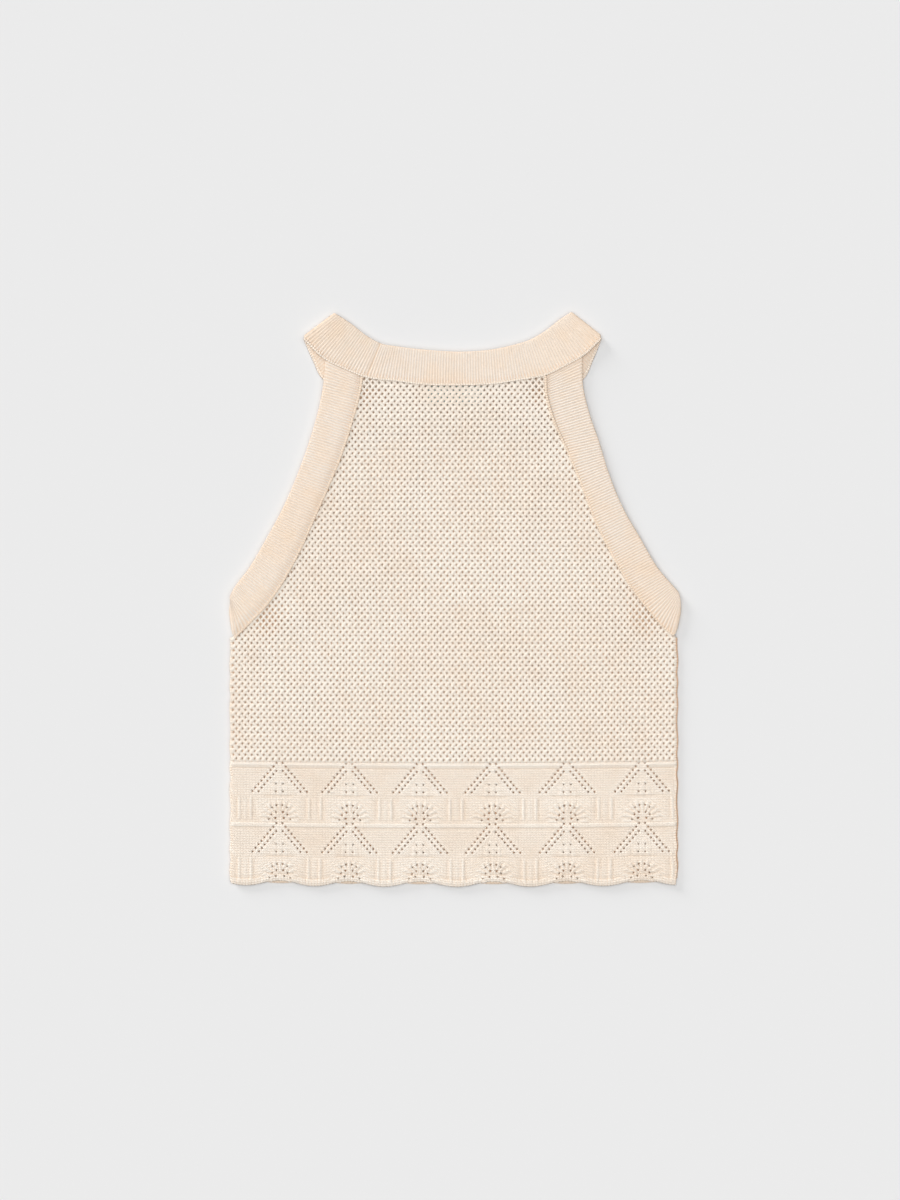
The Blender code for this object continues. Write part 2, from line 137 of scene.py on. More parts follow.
world = bpy.data.worlds.new("softbox")
world.use_nodes = True
sky = world.node_tree
background = sky.nodes["Background"]
direction = sky.nodes.new("ShaderNodeSeparateXYZ")
sky.links.new(sky.nodes.new("ShaderNodeTexCoord").outputs["Generated"], direction.inputs["Vector"])
overhead = spread_out(sky, direction.outputs["Z"], OVERHEAD_FROM, OVERHEAD_FULL)
seen = sky.nodes.new("ShaderNodeLightPath")
# A Mix node's inputs 2 and 3 are its two plain values, and 6 and 7 its two colours.
strength = sky.nodes.new("ShaderNodeMix")
strength.inputs[3].default_value = BACKDROP_TONE
sky.links.new(seen.outputs["Is Camera Ray"], strength.inputs[0])
sky.links.new(math_node(sky, "MULTIPLY", overhead, OVERHEAD_STRENGTH), strength.inputs[2])
sky.links.new(strength.outputs[0], background.inputs["Strength"])
background.inputs["Color"].default_value = (1.0, 1.0, 1.0, 1.0)
bpy.context.scene.world = world

sun_data = bpy.data.lights.new("low_sun", "SUN")
sun_data.energy = SUN_STRENGTH
sun_data.angle = SUN_WIDTH
sun = bpy.data.objects.new("low_sun", sun_data)
sun.rotation_euler = (0.0, math.pi / 2 - SUN_HEIGHT, SUN_FROM)
bpy.context.scene.collection.objects.link(sun)
bpy.context.scene.view_settings.view_transform = "Standard"

# %% [markdown]
# ## Helpers for cloth
#
# Every piece here is a grid that is given a shape: flat for a panel, rolled into a tube for a band or a
# strand of yarn. A grid can be made by one operator, and its points are then moved, which keeps the code
# short and gives even faces. Each point also carries a small vector named knit: the place along the yarn
# or the courses, the place across it, and how much painted light or shade it gets. The materials read it,
# so the pattern and the painted shade follow the cloth.

# %% Grids and finished pieces
def blend(value, start, end):
    """0 at start, 1 at end, and smooth between them."""
    t = np.clip((value - start) / (end - start), 0.0, 1.0)
    return t * t * (3 - 2 * t)


def bump(value, centre, half):
    """1 at the centre and fading to nothing on both sides."""
    return np.exp(-(((value - centre) / half) ** 2))


def knit_layer(bm):
    return bm.verts.layers.float_vector.get("knit") or bm.verts.layers.float_vector.new("knit")


def shaped_grid(bm, places, knit):
    """A grid whose point (i, j) goes to places[i, j]. knit[i, j] is what the materials read there."""
    layer = knit_layer(bm)
    along, across = places.shape[0] - 1, places.shape[1] - 1
    for vert in bmesh.ops.create_grid(bm, x_segments=along, y_segments=across, size=1)["verts"]:
        i, j = round((vert.co.x + 1) / 2 * along), round((vert.co.y + 1) / 2 * across)
        vert.co = places[i, j]
        vert[layer] = knit[i, j]


def finish_piece(bm, name, material, node):
    """Makes the mesh a piece that rides on the frame and stands for a CAD node, if one is named."""
    mesh = bpy.data.meshes.new(name)
    bm.to_mesh(mesh)
    bm.free()
    mesh.shade_smooth()
    mesh.materials.append(material)
    piece = bpy.data.objects.new(name, mesh)
    bpy.context.scene.collection.objects.link(piece)
    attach(piece, "root")
    if node:
        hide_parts(node)
    print(name, sum(len(face.vertices) - 2 for face in mesh.polygons), "triangles")
    return piece


# %% [markdown]
# ## The yarn's colour and painted shade
#
# The yarn is a matt cream cotton. Its colour isn't one flat tone: it drifts between cream and a faint
# peach over a few centimetres. A single colour would look like plastic, so the drift comes from a soft
# noise. Shade is painted in too: a darker, warmer colour is mixed in by the painted shade that each point
# carries and by the stitches, in the recesses, round the eyelets and on the bands' folds. Both are in one
# node group, which each material uses with its own values.

# %% A group for the yarn's colour and painted shade
def group_with(name, inputs, outputs):
    group = bpy.data.node_groups.new(name, "ShaderNodeTree")
    for socket, kind, default in inputs:
        made = group.interface.new_socket(socket, in_out="INPUT", socket_type=kind)
        made.default_value = default
    for socket, kind in outputs:
        group.interface.new_socket(socket, in_out="OUTPUT", socket_type=kind)
    return group, group.nodes.new("NodeGroupInput"), group.nodes.new("NodeGroupOutput")


def mix_colour(tree, share, first, second):
    node = tree.nodes.new("ShaderNodeMix")
    node.data_type = "RGBA"
    for socket, value in ((node.inputs[0], share), (node.inputs[6], first), (node.inputs[7], second)):
        if isinstance(value, (int, float, tuple)):
            socket.default_value = value
        else:
            tree.links.new(value, socket)
    return node.outputs[2]


def noise(tree, vector, scale, detail):
    node = tree.nodes.new("ShaderNodeTexNoise")
    set_inputs(node, {"Scale": scale, "Detail": detail})
    tree.links.new(vector, node.inputs["Vector"])
    return node.outputs["Fac"]


yarn_colour, group_in, group_out = group_with(
    "yarn_colour",
    [
        ("Crest", "NodeSocketColor", (0.9, 0.8, 0.7, 1.0)),
        ("Painted Shade", "NodeSocketColor", (0.8, 0.6, 0.5, 1.0)),
        ("Peach", "NodeSocketColor", (0.9, 0.7, 0.6, 1.0)),
        ("Peach Share", "NodeSocketFloat", 0.5),
        ("Height", "NodeSocketFloat", 1.0),
    ],
    [("Color", "NodeSocketColor")],
)
place = yarn_colour.nodes.new("ShaderNodeTexCoord").outputs["Object"]
PATCHES_PER_METRE, CLOUDS_PER_METRE, FIBRES_PER_METRE = 60, 11, 900
PATCH_RANGE, CLOUD_RANGE, FIBRE_RANGE = (0.42, 0.68), (0.38, 0.62), (0.2, 0.8)
DARKEST_FLECK, FLECK_SPREAD = 0.95, 0.10
calc = partial(math_node, yarn_colour)
patches = spread_out(yarn_colour, noise(yarn_colour, place, PATCHES_PER_METRE, 3), *PATCH_RANGE)
clouds = spread_out(yarn_colour, noise(yarn_colour, place, CLOUDS_PER_METRE, 1), *CLOUD_RANGE)
drifting = calc("ADD", calc("MULTIPLY", patches, 0.5), calc("MULTIPLY", clouds, 0.5))
peach_share = calc("MULTIPLY", drifting, group_in.outputs["Peach Share"])
patched = mix_colour(yarn_colour, peach_share, group_in.outputs["Crest"], group_in.outputs["Peach"])
# Painted shade: a darker, warmer colour is mixed in where the Height input is low.
recessed = mix_colour(yarn_colour, group_in.outputs["Height"], group_in.outputs["Painted Shade"], patched)
fibres = spread_out(yarn_colour, noise(yarn_colour, place, FIBRES_PER_METRE, 2), *FIBRE_RANGE)
fleck = yarn_colour.nodes.new("ShaderNodeHueSaturation")
yarn_colour.links.new(recessed, fleck.inputs["Color"])
brightness = calc("ADD", calc("MULTIPLY", fibres, FLECK_SPREAD), DARKEST_FLECK)
yarn_colour.links.new(brightness, fleck.inputs["Value"])
yarn_colour.links.new(fleck.outputs["Color"], group_out.inputs["Color"])

# %% A group for stitches and twist
yarn_relief, group_in, group_out = group_with(
    "yarn_relief",
    [
        ("Knit", "NodeSocketVector", (0.0, 0.0, 0.0)),
        ("Stitch Length", "NodeSocketFloat", 0.0019),
        ("Stitch Width", "NodeSocketFloat", 0.0024),
        ("Slant", "NodeSocketFloat", 0.8),
    ],
    [("Height", "NodeSocketFloat")],
)
knit_place = yarn_relief.nodes.new("ShaderNodeSeparateXYZ")
yarn_relief.links.new(group_in.outputs["Knit"], knit_place.inputs["Vector"])
LEG_ROUNDING, GAP_ROUNDING = 0.6, 0.35
calc = partial(math_node, yarn_relief)
wale = calc("DIVIDE", knit_place.outputs["Y"], group_in.outputs["Stitch Width"])
course = calc("DIVIDE", knit_place.outputs["X"], group_in.outputs["Stitch Length"])
in_wale = calc("ABSOLUTE", calc("SUBTRACT", calc("FRACT", wale), 0.5))
leaned = calc("ADD", course, calc("MULTIPLY", in_wale, group_in.outputs["Slant"]))
leg = calc("ABSOLUTE", calc("SINE", calc("MULTIPLY", leaned, math.pi)))
gap = calc("ABSOLUTE", calc("SINE", calc("MULTIPLY", wale, 2 * math.pi)))
stitch = calc("MULTIPLY", calc("POWER", leg, LEG_ROUNDING), calc("POWER", gap, GAP_ROUNDING))
yarn_relief.links.new(stitch, group_out.inputs["Height"])

# %% Materials
# The crest colours and PEACH are the yarn's own. The rest are painted shade: the recess colours, mixed in
# where a point is low or hidden, and the front's colours, for the shade it lies in under the back.
CREST = (1.0, 0.925, 0.83, 1.0)
BAND_CREST = (0.905, 0.835, 0.76, 1.0)
PAINTED_SHADE_COLOUR = (0.84, 0.64, 0.47, 1.0)
PEACH = (0.93, 0.77, 0.62, 1.0)
FRONT_NET_IN_SHADE = (1.0, 0.68, 0.44, 1.0)
FRONT_HEM_IN_SHADE, FRONT_BORDER_PAINTED_SHADE = (1.0, 0.83, 0.66, 1.0), (0.90, 0.54, 0.32, 1.0)
NET_CREST = (1.0, 0.94, 0.845, 1.0)
NET_PAINTED_SHADE = (0.90, 0.64, 0.45, 1.0)
SEAM_CREST = (0.97, 0.84, 0.70, 1.0)
COTTON_FINISH = {"Roughness": 0.85, "Sheen Weight": 0.12, "Specular IOR Level": 0.2}
LEVEL_GIVEN_UP = 0.8


def yarn_material(name, crest, painted_shade, peach_share, stitch, bump_depth, slant=0.8, stitch_shade_share=0.3):
    """A cotton yarn. stitch is (length, width) of the pattern that the bump draws, and that is also painted
    in as shade between the stitches.
    """
    material = bpy.data.materials.new(name)
    material.use_nodes = True
    tree = material.node_tree
    shader = tree.nodes["Principled BSDF"]
    set_inputs(shader, COTTON_FINISH)
    knit = tree.nodes.new("ShaderNodeAttribute")
    knit.attribute_name = "knit"
    parts = tree.nodes.new("ShaderNodeSeparateXYZ")
    tree.links.new(knit.outputs["Vector"], parts.inputs["Vector"])
    colour = tree.nodes.new("ShaderNodeGroup")
    colour.node_tree = yarn_colour
    set_inputs(colour, {"Crest": crest, "Painted Shade": painted_shade, "Peach": PEACH, "Peach Share": peach_share})
    relief = tree.nodes.new("ShaderNodeGroup")
    relief.node_tree = yarn_relief
    set_inputs(relief, {"Stitch Length": stitch[0], "Stitch Width": stitch[1], "Slant": slant})
    tree.links.new(knit.outputs["Vector"], relief.inputs["Knit"])
    # Painted shade: darker between the stitches, and as dark as each point's knit value says.
    height = math_node(tree, "MULTIPLY", relief.outputs["Height"], stitch_shade_share)
    level = math_node(tree, "MULTIPLY", parts.outputs["Z"], 1.0 - LEVEL_GIVEN_UP * stitch_shade_share)
    height = math_node(tree, "ADD", level, height)
    tree.links.new(height, colour.inputs["Height"])
    tree.links.new(colour.outputs["Color"], shader.inputs["Base Color"])
    bump_node = tree.nodes.new("ShaderNodeBump")
    set_inputs(bump_node, {"Strength": 1.0, "Distance": bump_depth})
    tree.links.new(relief.outputs["Height"], bump_node.inputs["Height"])
    tree.links.new(bump_node.outputs["Normal"], shader.inputs["Normal"])
    return material


FINE, PLAIN, RIB = (1.3 * MM, 1.2 * MM), (1.95 * MM, 2.4 * MM), (1.1 * MM, 1.6 * MM)
LINKING = (0.6 * MM, 0.6 * MM)
net_cotton = yarn_material("cotton_net", NET_CREST, NET_PAINTED_SHADE, 0.4, FINE, 0.15 * MM, 1.6)
# The front net is painted in the warm shade it lies in under the back.
front_net_cotton = yarn_material("cotton_front_net", FRONT_NET_IN_SHADE, NET_PAINTED_SHADE, 0.3, FINE, 0.15 * MM, 1.6)
border_cotton = yarn_material("cotton_border", CREST, PAINTED_SHADE_COLOUR, 0.5, PLAIN, 0.35 * MM, stitch_shade_share=0.45)
# The front border is painted in shade, lighter at its hem where it shows.
front_border_cotton = yarn_material("cotton_front_border", FRONT_HEM_IN_SHADE, FRONT_BORDER_PAINTED_SHADE, 0.3, PLAIN, 0.3 * MM)
rib_cotton = yarn_material("cotton_rib", BAND_CREST, PAINTED_SHADE_COLOUR, 0.9, RIB, 0.12 * MM)
seam_cotton = yarn_material("linking_yarn", SEAM_CREST, PAINTED_SHADE_COLOUR, 0.6, LINKING, 0.1 * MM)
neck_seam_cotton = yarn_material("neck_linking_yarn", CREST, PAINTED_SHADE_COLOUR, 0.3, LINKING, 0.1 * MM)

# %% [markdown]
# ## The pattern pieces
#
# The bands and panels were measured on the laid top. A band is a row of straight sections from its free
# edge to its seam edge, and a smooth curve is read through them. The panels need no outline of their own:
# above the underarm they end at the bands' seams, and below it their sides are straight.

# %% Sections of the bands, in millimetres
NECKBAND_BACK = (
    # free x, free y, seam x, seam y
    (-95.8, 228.6, -121.2, 209.5),
    (-82.3, 219.0, -103.7, 192.4),
    (-71.2, 210.3, -88.4, 184.6),
    (-59.6, 203.9, -70.4, 177.7),
    (-44.1, 201.1, -48.1, 174.9),
    (-24.2, 198.8, -25.8, 172.1),
    (6.0, 197.2, 6.0, 171.5),
    (27.4, 198.8, 29.0, 172.5),
    (46.5, 202.7, 51.3, 175.7),
    (60.8, 207.5, 71.2, 179.5),
    (72.7, 214.7, 87.1, 187.0),
    (81.5, 221.8, 101.4, 195.2),
    (91.8, 229.4, 116.5, 209.9),
)
NECKBAND_FRONT = (
    # free x, free y, seam x, seam y
    (91.8, 229.4, 116.5, 209.9),
    (83.0, 217.5, 108.6, 191.6),
    (73.5, 206.0, 100.2, 175.6),
    (62.0, 199.5, 84.0, 170.5),
    (45.5, 197.2, 60.0, 170.0),
    (22.0, 195.8, 26.0, 170.6),
    (-1.0, 195.2, -1.0, 170.5),
    (-28.0, 195.8, -32.0, 170.6),
    (-48.0, 197.0, -58.0, 170.2),
    (-64.8, 199.3, -85.0, 170.6),
    (-76.6, 206.2, -103.8, 175.4),
    (-87.0, 217.0, -113.0, 192.0),
    (-95.8, 228.6, -121.2, 209.5),
)
LEFT_BAND = (
    # free x, free y, seam x, seam y
    (-103.4, 191.2, -74.6, 177.4),
    (-105.0, 171.7, -76.7, 164.0),
    (-108.9, 151.0, -82.5, 142.3),
    (-116.3, 125.6, -90.4, 117.7),
    (-126.0, 98.6, -101.7, 89.8),
    (-136.3, 74.7, -113.0, 64.4),
    (-149.9, 49.3, -126.0, 35.8),
    (-165.0, 23.9, -142.3, 7.6),
    (-174.5, 11.5, -152.4, -5.9),
    (-178.9, 3.5, -163.0, -16.8),
    (-180.9, -1.6, -177.4, -29.4),
)
RIGHT_BAND = (
    # free x, free y, seam x, seam y
    (100.8, 193.4, 71.6, 178.0),
    (101.2, 171.7, 72.6, 162.2),
    (105.8, 150.3, 78.6, 141.5),
    (114.1, 125.6, 88.9, 119.5),
    (122.0, 100.2, 100.8, 91.0),
    (132.4, 74.7, 110.7, 64.9),
    (146.7, 49.3, 124.1, 37.5),
    (161.8, 23.9, 139.0, 12.0),
    (172.9, 11.1, 151.6, -4.8),
    (177.7, 4.8, 164.1, -19.9),
    (180.9, -1.6, 175.5, -27.9),
)
FRONT_BAND_TOPS = {"left": (-102.6, 173.4, -75.9, 168.4), "right": (99.4, 173.2, 72.0, 168.2)}
BAND_REACH = 2.05 * MM
BAND_LAYER = 1.1 * MM
FRONT_BAND_INSET = 0.5 * MM


def smooth_sections(rows, step):
    """Sections about a step apart on the smooth curve through the given ones, and how far along each is."""
    middles = (rows[:, :2] + rows[:, 2:]) / 2
    along = np.concatenate([[0.0], np.cumsum(np.linalg.norm(np.diff(middles, axis=0), axis=1))])
    slopes = np.gradient(rows, along, axis=0)
    where = np.linspace(0.0, along[-1], max(2, round(along[-1] / step)) + 1)
    first = np.clip(np.searchsorted(along, where, side="right") - 1, 0, len(along) - 2)
    length = (along[first + 1] - along[first])[:, None]
    t = (where - along[first])[:, None] / length
    rows = (
        (1 + 2 * t) * (1 - t) ** 2 * rows[first]
        + t * (1 - t) ** 2 * length * slopes[first]
        + t * t * (3 - 2 * t) * rows[first + 1]
        - t * t * (1 - t) * length * slopes[first + 1]
    )
    return rows, where


def pull_in(table, end):
    """The table with the section at one end moved in by the fold's reach, and the direction of the fold."""
    rows = np.array(table) * MM
    across = rows[end, 2:] - rows[end, :2]
    normal = np.array([-across[1], across[0]]) / np.linalg.norm(across)
    neighbour = rows[1 if end == 0 else -2]
    if normal @ (neighbour[:2] + neighbour[2:] - rows[end, :2] - rows[end, 2:]) > 0:
        normal = -normal
    rows[end] -= np.tile(normal, 2) * BAND_REACH
    return rows, normal


# %% The panels' outlines
SEAM_GAP = 0.3 * MM
BACK_SIDES = (-178.5 * MM, 175.0 * MM)
FRONT_SIDES = (-178.0 * MM, 176.2 * MM)
HEM = -224.3 * MM
FRONT_HEM = HEM + 1.2 * MM
BORDER_TOP = -128.0 * MM
OUTLINE_STEP = 2 * MM


class Outline:
    """Where a panel ends: at its sides for a given y, and under the neck seam for a given x."""

    def __init__(self, sides, neck_table):
        self.edges = []
        for table, side in zip((LEFT_BAND, RIGHT_BAND), sides):
            rows, _ = pull_in(table, -1)
            seam, _ = smooth_sections(rows, OUTLINE_STEP)
            corner_y = seam[-1, 3]
            edge_y = np.append(seam[:, 3], [corner_y - MM, HEM])
            self.edges.append((edge_y, np.append(seam[:, 2], [side, side])))
        neck, _ = smooth_sections(np.array(neck_table) * MM, OUTLINE_STEP)
        order = np.argsort(neck[:, 2])
        self.neck = neck[order, 2], neck[order, 3]

    def side_x(self, which, y):
        edge_y, edge_x = self.edges[which]
        return np.interp(-y, -edge_y, edge_x)

    def neck_y(self, x):
        return np.interp(x, *self.neck)

    def holds(self, x, y):
        inside = (x > self.side_x(0, y) + SEAM_GAP) & (x < self.side_x(1, y) - SEAM_GAP)
        return inside & (y < self.neck_y(x) - SEAM_GAP)


back_outline = Outline(BACK_SIDES, NECKBAND_BACK)
front_outline = Outline(FRONT_SIDES, NECKBAND_FRONT)

# %% [markdown]
# ## How the panels lie
#
# Nothing knitted lies dead flat. The back rests on the front, lifts over the thicker neckband, sags a
# little between its sides, and keeps a few soft creases. These are worked out by one function that takes
# a place on the flat cloth to its place on the floor. Cloth simulation could drape it, but a laid top
# hardly moves, and placing the creases one by one puts them where they are on the real one.

# %% From flat cloth to laid cloth
MOTIF_CENTRES = np.array((-139.5, -84.3, -28.2, 29.8, 88.6, 147.9)) * MM
BORDER_SAG, SAG_FULL = 1.5 * MM, 129.5 * MM
SCALLOP, FRONT_SCALLOP = 2.1 * MM, 1.2 * MM
SCALLOP_STARTS = 28 * MM
DRIFT, DRIFT_FROM_SIDE = 0.5 * MM, 40 * MM
DRIFT_DOWN, DRIFT_ACROSS = 21 * MM, 33 * MM
SIDE_WAVE, SIDE_WAVE_HEIGHT, SIDE_WAVE_REACH = 3.4 * MM, 0.4 * MM, 12 * MM
SIDE_WAVE_STARTS = -26 * MM
BACK_UNDERSIDE = 1.7 * MM
NECK_LIFT = 1.3 * MM
NECK_LEVEL = 175 * MM
NECK_LIFT_FULL, NECK_LIFT_NONE = 24 * MM, 62 * MM
CREASES = (
    # start x, start y, end x, end y, half width, height
    (69.0, 99.0, 54.0, 47.0, 16.0, 0.45),
    (-160.0, -36.0, -62.0, 22.0, 18.0, 0.4),
    (158.0, -42.0, 96.0, -4.0, 16.0, 0.4),
    (-30.0, 118.0, -46.0, 62.0, 15.0, 0.35),
    (20.0, -20.0, 74.0, -66.0, 20.0, 0.4),
    (-128.0, -70.0, -96.0, -118.0, 16.0, 0.35),
)


def motif_phase(x):
    """0 at the first motif's centre, 1 at the second's, and so on past both ends."""
    steps = np.diff(MOTIF_CENTRES)
    before, after = MOTIF_CENTRES[0] - steps[0], MOTIF_CENTRES[-1] + steps[-1]
    centres = np.concatenate([[before], MOTIF_CENTRES, [after]])
    return np.interp(x, centres, np.arange(-1, len(MOTIF_CENTRES) + 1))


def crease_height(x, y):
    total = np.zeros(np.shape(x))
    for row in CREASES:
        start_x, start_y, end_x, end_y, half_width = (value * MM for value in row[:5])
        run_x, run_y = end_x - start_x, end_y - start_y
        share = ((x - start_x) * run_x + (y - start_y) * run_y) / (run_x**2 + run_y**2)
        share = np.clip(share, 0.0, 1.0)
        aside = np.hypot(x - start_x - run_x * share, y - start_y - run_y * share)
        total += row[5] * MM * (1 - blend(aside, 0.0, half_width))
    return total


def neck_lift(y):
    """How far the back is lifted by the neckband under it."""
    return NECK_LIFT * (1 - blend(NECK_LEVEL - y, NECK_LIFT_FULL, NECK_LIFT_NONE))


def lay(x, y, z, sides, scallop, shift, lifted):
    """Where a point of the flat cloth ends up. z is its height over the underside of its own panel."""
    share = (x - sides[0]) / (sides[1] - sides[0])
    sag = BORDER_SAG * (1 - (2 * share - 1) ** 2) * blend(-y, 0.0, SAG_FULL)
    laid_y = y - sag
    fade = 1 - blend(laid_y, HEM, HEM + SCALLOP_STARTS)
    laid_y = laid_y + scallop * fade * np.cos(2 * math.pi * (motif_phase(x) + shift))
    drift = np.sin(laid_y / DRIFT_DOWN) * np.sin(x / DRIFT_ACROSS + 0.7)
    to_side = np.minimum(x - sides[0], sides[1] - x)
    laid_x = x + DRIFT * drift * blend(to_side, 0.0, DRIFT_FROM_SIDE)
    wave = np.sin(y / SIDE_WAVE + 1.3 * np.sin(y / (3.1 * SIDE_WAVE)) + 2.0 * (x > 0))
    waving = (1 - blend(to_side, 0.0, SIDE_WAVE_REACH)) * (y < SIDE_WAVE_STARTS)
    laid_x = laid_x + SIDE_WAVE_HEIGHT * wave * waving
    if lifted:
        z = z + BACK_UNDERSIDE + neck_lift(y) + crease_height(x, y)
    return np.stack([laid_x, laid_y, z], axis=-1)


def lay_back(x, y, z):
    return lay(x, y, z, BACK_SIDES, SCALLOP, 0.0, True)


def lay_front(x, y, z):
    return lay(x, y, z, FRONT_SIDES, FRONT_SCALLOP, 0.5, False)


# %% [markdown]
# ## The lace mesh
#
# On the machine, every second course of the mesh makes a hole and leans the stitches beside it, to the
# left on one row and to the right on the next. Seen from above that is two sets of slanting strands that
# cross over and under each other, with a hole in each diamond between them. A picture of holes on a flat
# sheet would look printed, so each strand is its own flattened tube: a grid rolled up, wide where it lies
# on top and narrow where it dips.

# %% Strands
HOLE_PITCH = 4.85 * MM
HOLE_ROW = 2.95 * MM
FIRST_ROW = BORDER_TOP - 0.4 * MM
STRAND_OVER, STRAND_UNDER = 3.0 * MM, 2.45 * MM
STRAND_HALF_THICKNESS = 0.28 * MM
STRAND_FLATNESS = 0.7
STRAND_RISE = 0.16 * MM
STRAND_MIDDLE = 0.75 * MM
STRAND_UPRIGHT = 0.45
WANDER_X, WANDER_Y = 0.16 * MM, 0.12 * MM
LOOK_STEP = 0.02
OPEN_CORNERS = ((-71, 170), (67, 171), (-150, -14), (150, -14))
OPEN_CORNER_REACH = 13 * MM
OPEN_CORNER_SHARE = 0.28
STRAND_SHADE, SHADE_OF_LEVEL, RIM_SHADE = 0.9, 0.1, 0.45
STITCH_OFFSET = 0.3 * MM
NET_REACHES = 205 * MM
LINES_EACH_SIDE = 80
SHORTEST_STRAND, CLEAR_OF_ENDS = 0.6, 0.3
SAME_POINT = 0.002 * MM


def thinned(x, y):
    """Strands are thin near the corners of the armholes, where the mesh is stretched and its holes gape."""
    share = np.ones(np.shape(x))
    for corner_x, corner_y in OPEN_CORNERS:
        away = np.hypot(x - corner_x * MM, y - corner_y * MM)
        share -= OPEN_CORNER_SHARE * bump(away, 0.0, OPEN_CORNER_REACH)
    return share


def wander(x, y):
    """The small unevenness of the stitches: how far each crossing is from its place in an even mesh."""
    return WANDER_X * np.sin(91e3 * x + 47e3 * y), WANDER_Y * np.sin(57e3 * x - 83e3 * y)


def strand(bm, stops, line, lean, sides, lay_cloth):
    """One slanting strand through the stops, which count hole rows. It is over where row and lean agree."""
    x = line + lean * HOLE_PITCH / 2 * stops
    y = FIRST_ROW + HOLE_ROW * stops
    whole = np.abs(stops - np.round(stops)) < LOOK_STEP / 2
    over = np.where(np.round(stops) % 2 == (0 if lean < 0 else 1), 1.0, -1.0) * whole
    width = np.where(over > 0, STRAND_OVER, STRAND_UNDER) * thinned(x, y)
    wander_x, wander_y = wander(x, y)
    x, y = x + wander_x * whole, y + wander_y * whole
    across = np.array([HOLE_ROW, -lean * HOLE_PITCH / 2]) / math.hypot(HOLE_ROW, HOLE_PITCH / 2)
    across = across + np.array([1.0, 0.0]) * (STRAND_UPRIGHT * (over > 0))[:, None]
    across /= np.linalg.norm(across, axis=1)[:, None]
    turn = np.linspace(0.0, 2 * math.pi, sides + 1)
    aside = width[:, None] / 2 * np.cos(turn)
    rounding = np.sign(np.sin(turn)) * np.abs(np.sin(turn)) ** STRAND_FLATNESS
    height = STRAND_MIDDLE + STRAND_RISE * over[:, None] + STRAND_HALF_THICKNESS * rounding
    places = lay_cloth(x[:, None] + across[:, :1] * aside, y[:, None] + across[:, 1:] * aside, height)
    along = stops[:, None] * math.hypot(HOLE_ROW, HOLE_PITCH / 2)
    # Painted shade: lighter where a strand lies on top, darker where it dips under, and darker at its rims.
    shade = STRAND_SHADE + SHADE_OF_LEVEL * over[:, None] - RIM_SHADE * np.abs(np.cos(turn)) ** 4
    knit = np.stack(np.broadcast_arrays(along, aside + STITCH_OFFSET, shade), axis=-1)
    shaped_grid(bm, places, knit)


def make_net(name, outline, lay_cloth, shift, sides, material, node):
    """All the strands of one panel, from the border up to the seams."""
    bm = bmesh.new()
    top_row = (NET_REACHES - FIRST_ROW) / HOLE_ROW
    looks = np.arange(0.0, top_row, LOOK_STEP)
    count = 0
    for lean in (-1, 1):
        for i in range(-LINES_EACH_SIDE, LINES_EACH_SIDE + 1):
            line = shift + i * HOLE_PITCH
            inside = outline.holds(line + lean * HOLE_PITCH / 2 * looks, FIRST_ROW + HOLE_ROW * looks)
            ends = np.flatnonzero(np.diff(np.concatenate([[0], inside, [0]])))
            for first, last in zip(ends[::2], ends[1::2] - 1):
                if last - first < SHORTEST_STRAND / LOOK_STEP:
                    continue
                start, end = looks[first], looks[last]
                rows = np.arange(math.ceil(start + CLEAR_OF_ENDS), math.floor(end - CLEAR_OF_ENDS) + 1)
                strand(bm, np.array([start, *rows, end]), line, lean, sides, lay_cloth)
                count += 1
    bmesh.ops.remove_doubles(bm, verts=bm.verts, dist=SAME_POINT)
    bmesh.ops.holes_fill(bm, edges=bm.edges, sides=sides)
    bmesh.ops.recalc_face_normals(bm, faces=bm.faces)
    print(count, "strands")
    return finish_piece(bm, name, material, node)


# The front's crossings lie under the back's holes, so that the floor doesn't show through.
NET_SHIFT = 0.6 * MM
FRONT_NET_SHIFT = NET_SHIFT + HOLE_PITCH / 2
back_net = make_net(
    "back_net", back_outline, lay_back, NET_SHIFT, 8,
    net_cotton, "back_panel",
)
front_net = make_net(
    "front_net", front_outline, lay_front, FRONT_NET_SHIFT, 6,
    front_net_cotton, "front_panel",
)

# %% [markdown]
# ## The border
#
# Under the mesh the knitting is plain, and its pattern is made of holes and raised stitches: a ridge, a
# tall arch drawn by two lines of eyelets, a fan under it and a pair of ribs between the motifs, twice
# over, and then the scalloped hem. The raised stitches are worked out as a height for each point of a
# fine grid, which gives soft forms that a bevel couldn't. The eyelets are real holes: one grid point is
# taken out, and the eight around it are drawn into a ring.

# %% Heights of the pattern
UPPER_RIDGE, LOWER_RIDGE = -129.5 * MM, -177.3 * MM
PATTERN_WALE = 2.4 * MM
ARCH_EYELETS = (
    # first aside, first drop, step aside, step down, how many
    (2.4, -0.7, 2.39, 2.83, 9),
    (2.6, 5.6, 2.32, 2.72, 7),
)
SINGLE_EYELETS = (
    # aside, drop, radius
    (2.8, 15.9, 0.6), (2.8, 21.9, 0.6), (2.4, 32.7, 0.7), (2.6, 38.2, 0.85),
    (3.3, 43.0, 0.9), (6.2, 40.2, 0.75), (8.4, 44.0, 0.65), (6.0, 34.6, 0.6),
)
BOBBLES = ((0.0, 5.2), (0.0, 18.9), (5.4, 18.9), (0.0, 23.6), (5.0, 23.8), (2.6, 15.0))
FAN_FOOT = 44.0
FAN_RAY = math.radians(19)
EYELET_RADIUS = 0.74
SHADE_OF_PLAIN = 0.62
EYELET_SHADE, EYELET_SHADE_REACH = 0.75, 1.15
PAINTED_LIGHT_WHEN_RAISED, PAINTED_SHADE_WHEN_SUNK = 1.1, 0.9


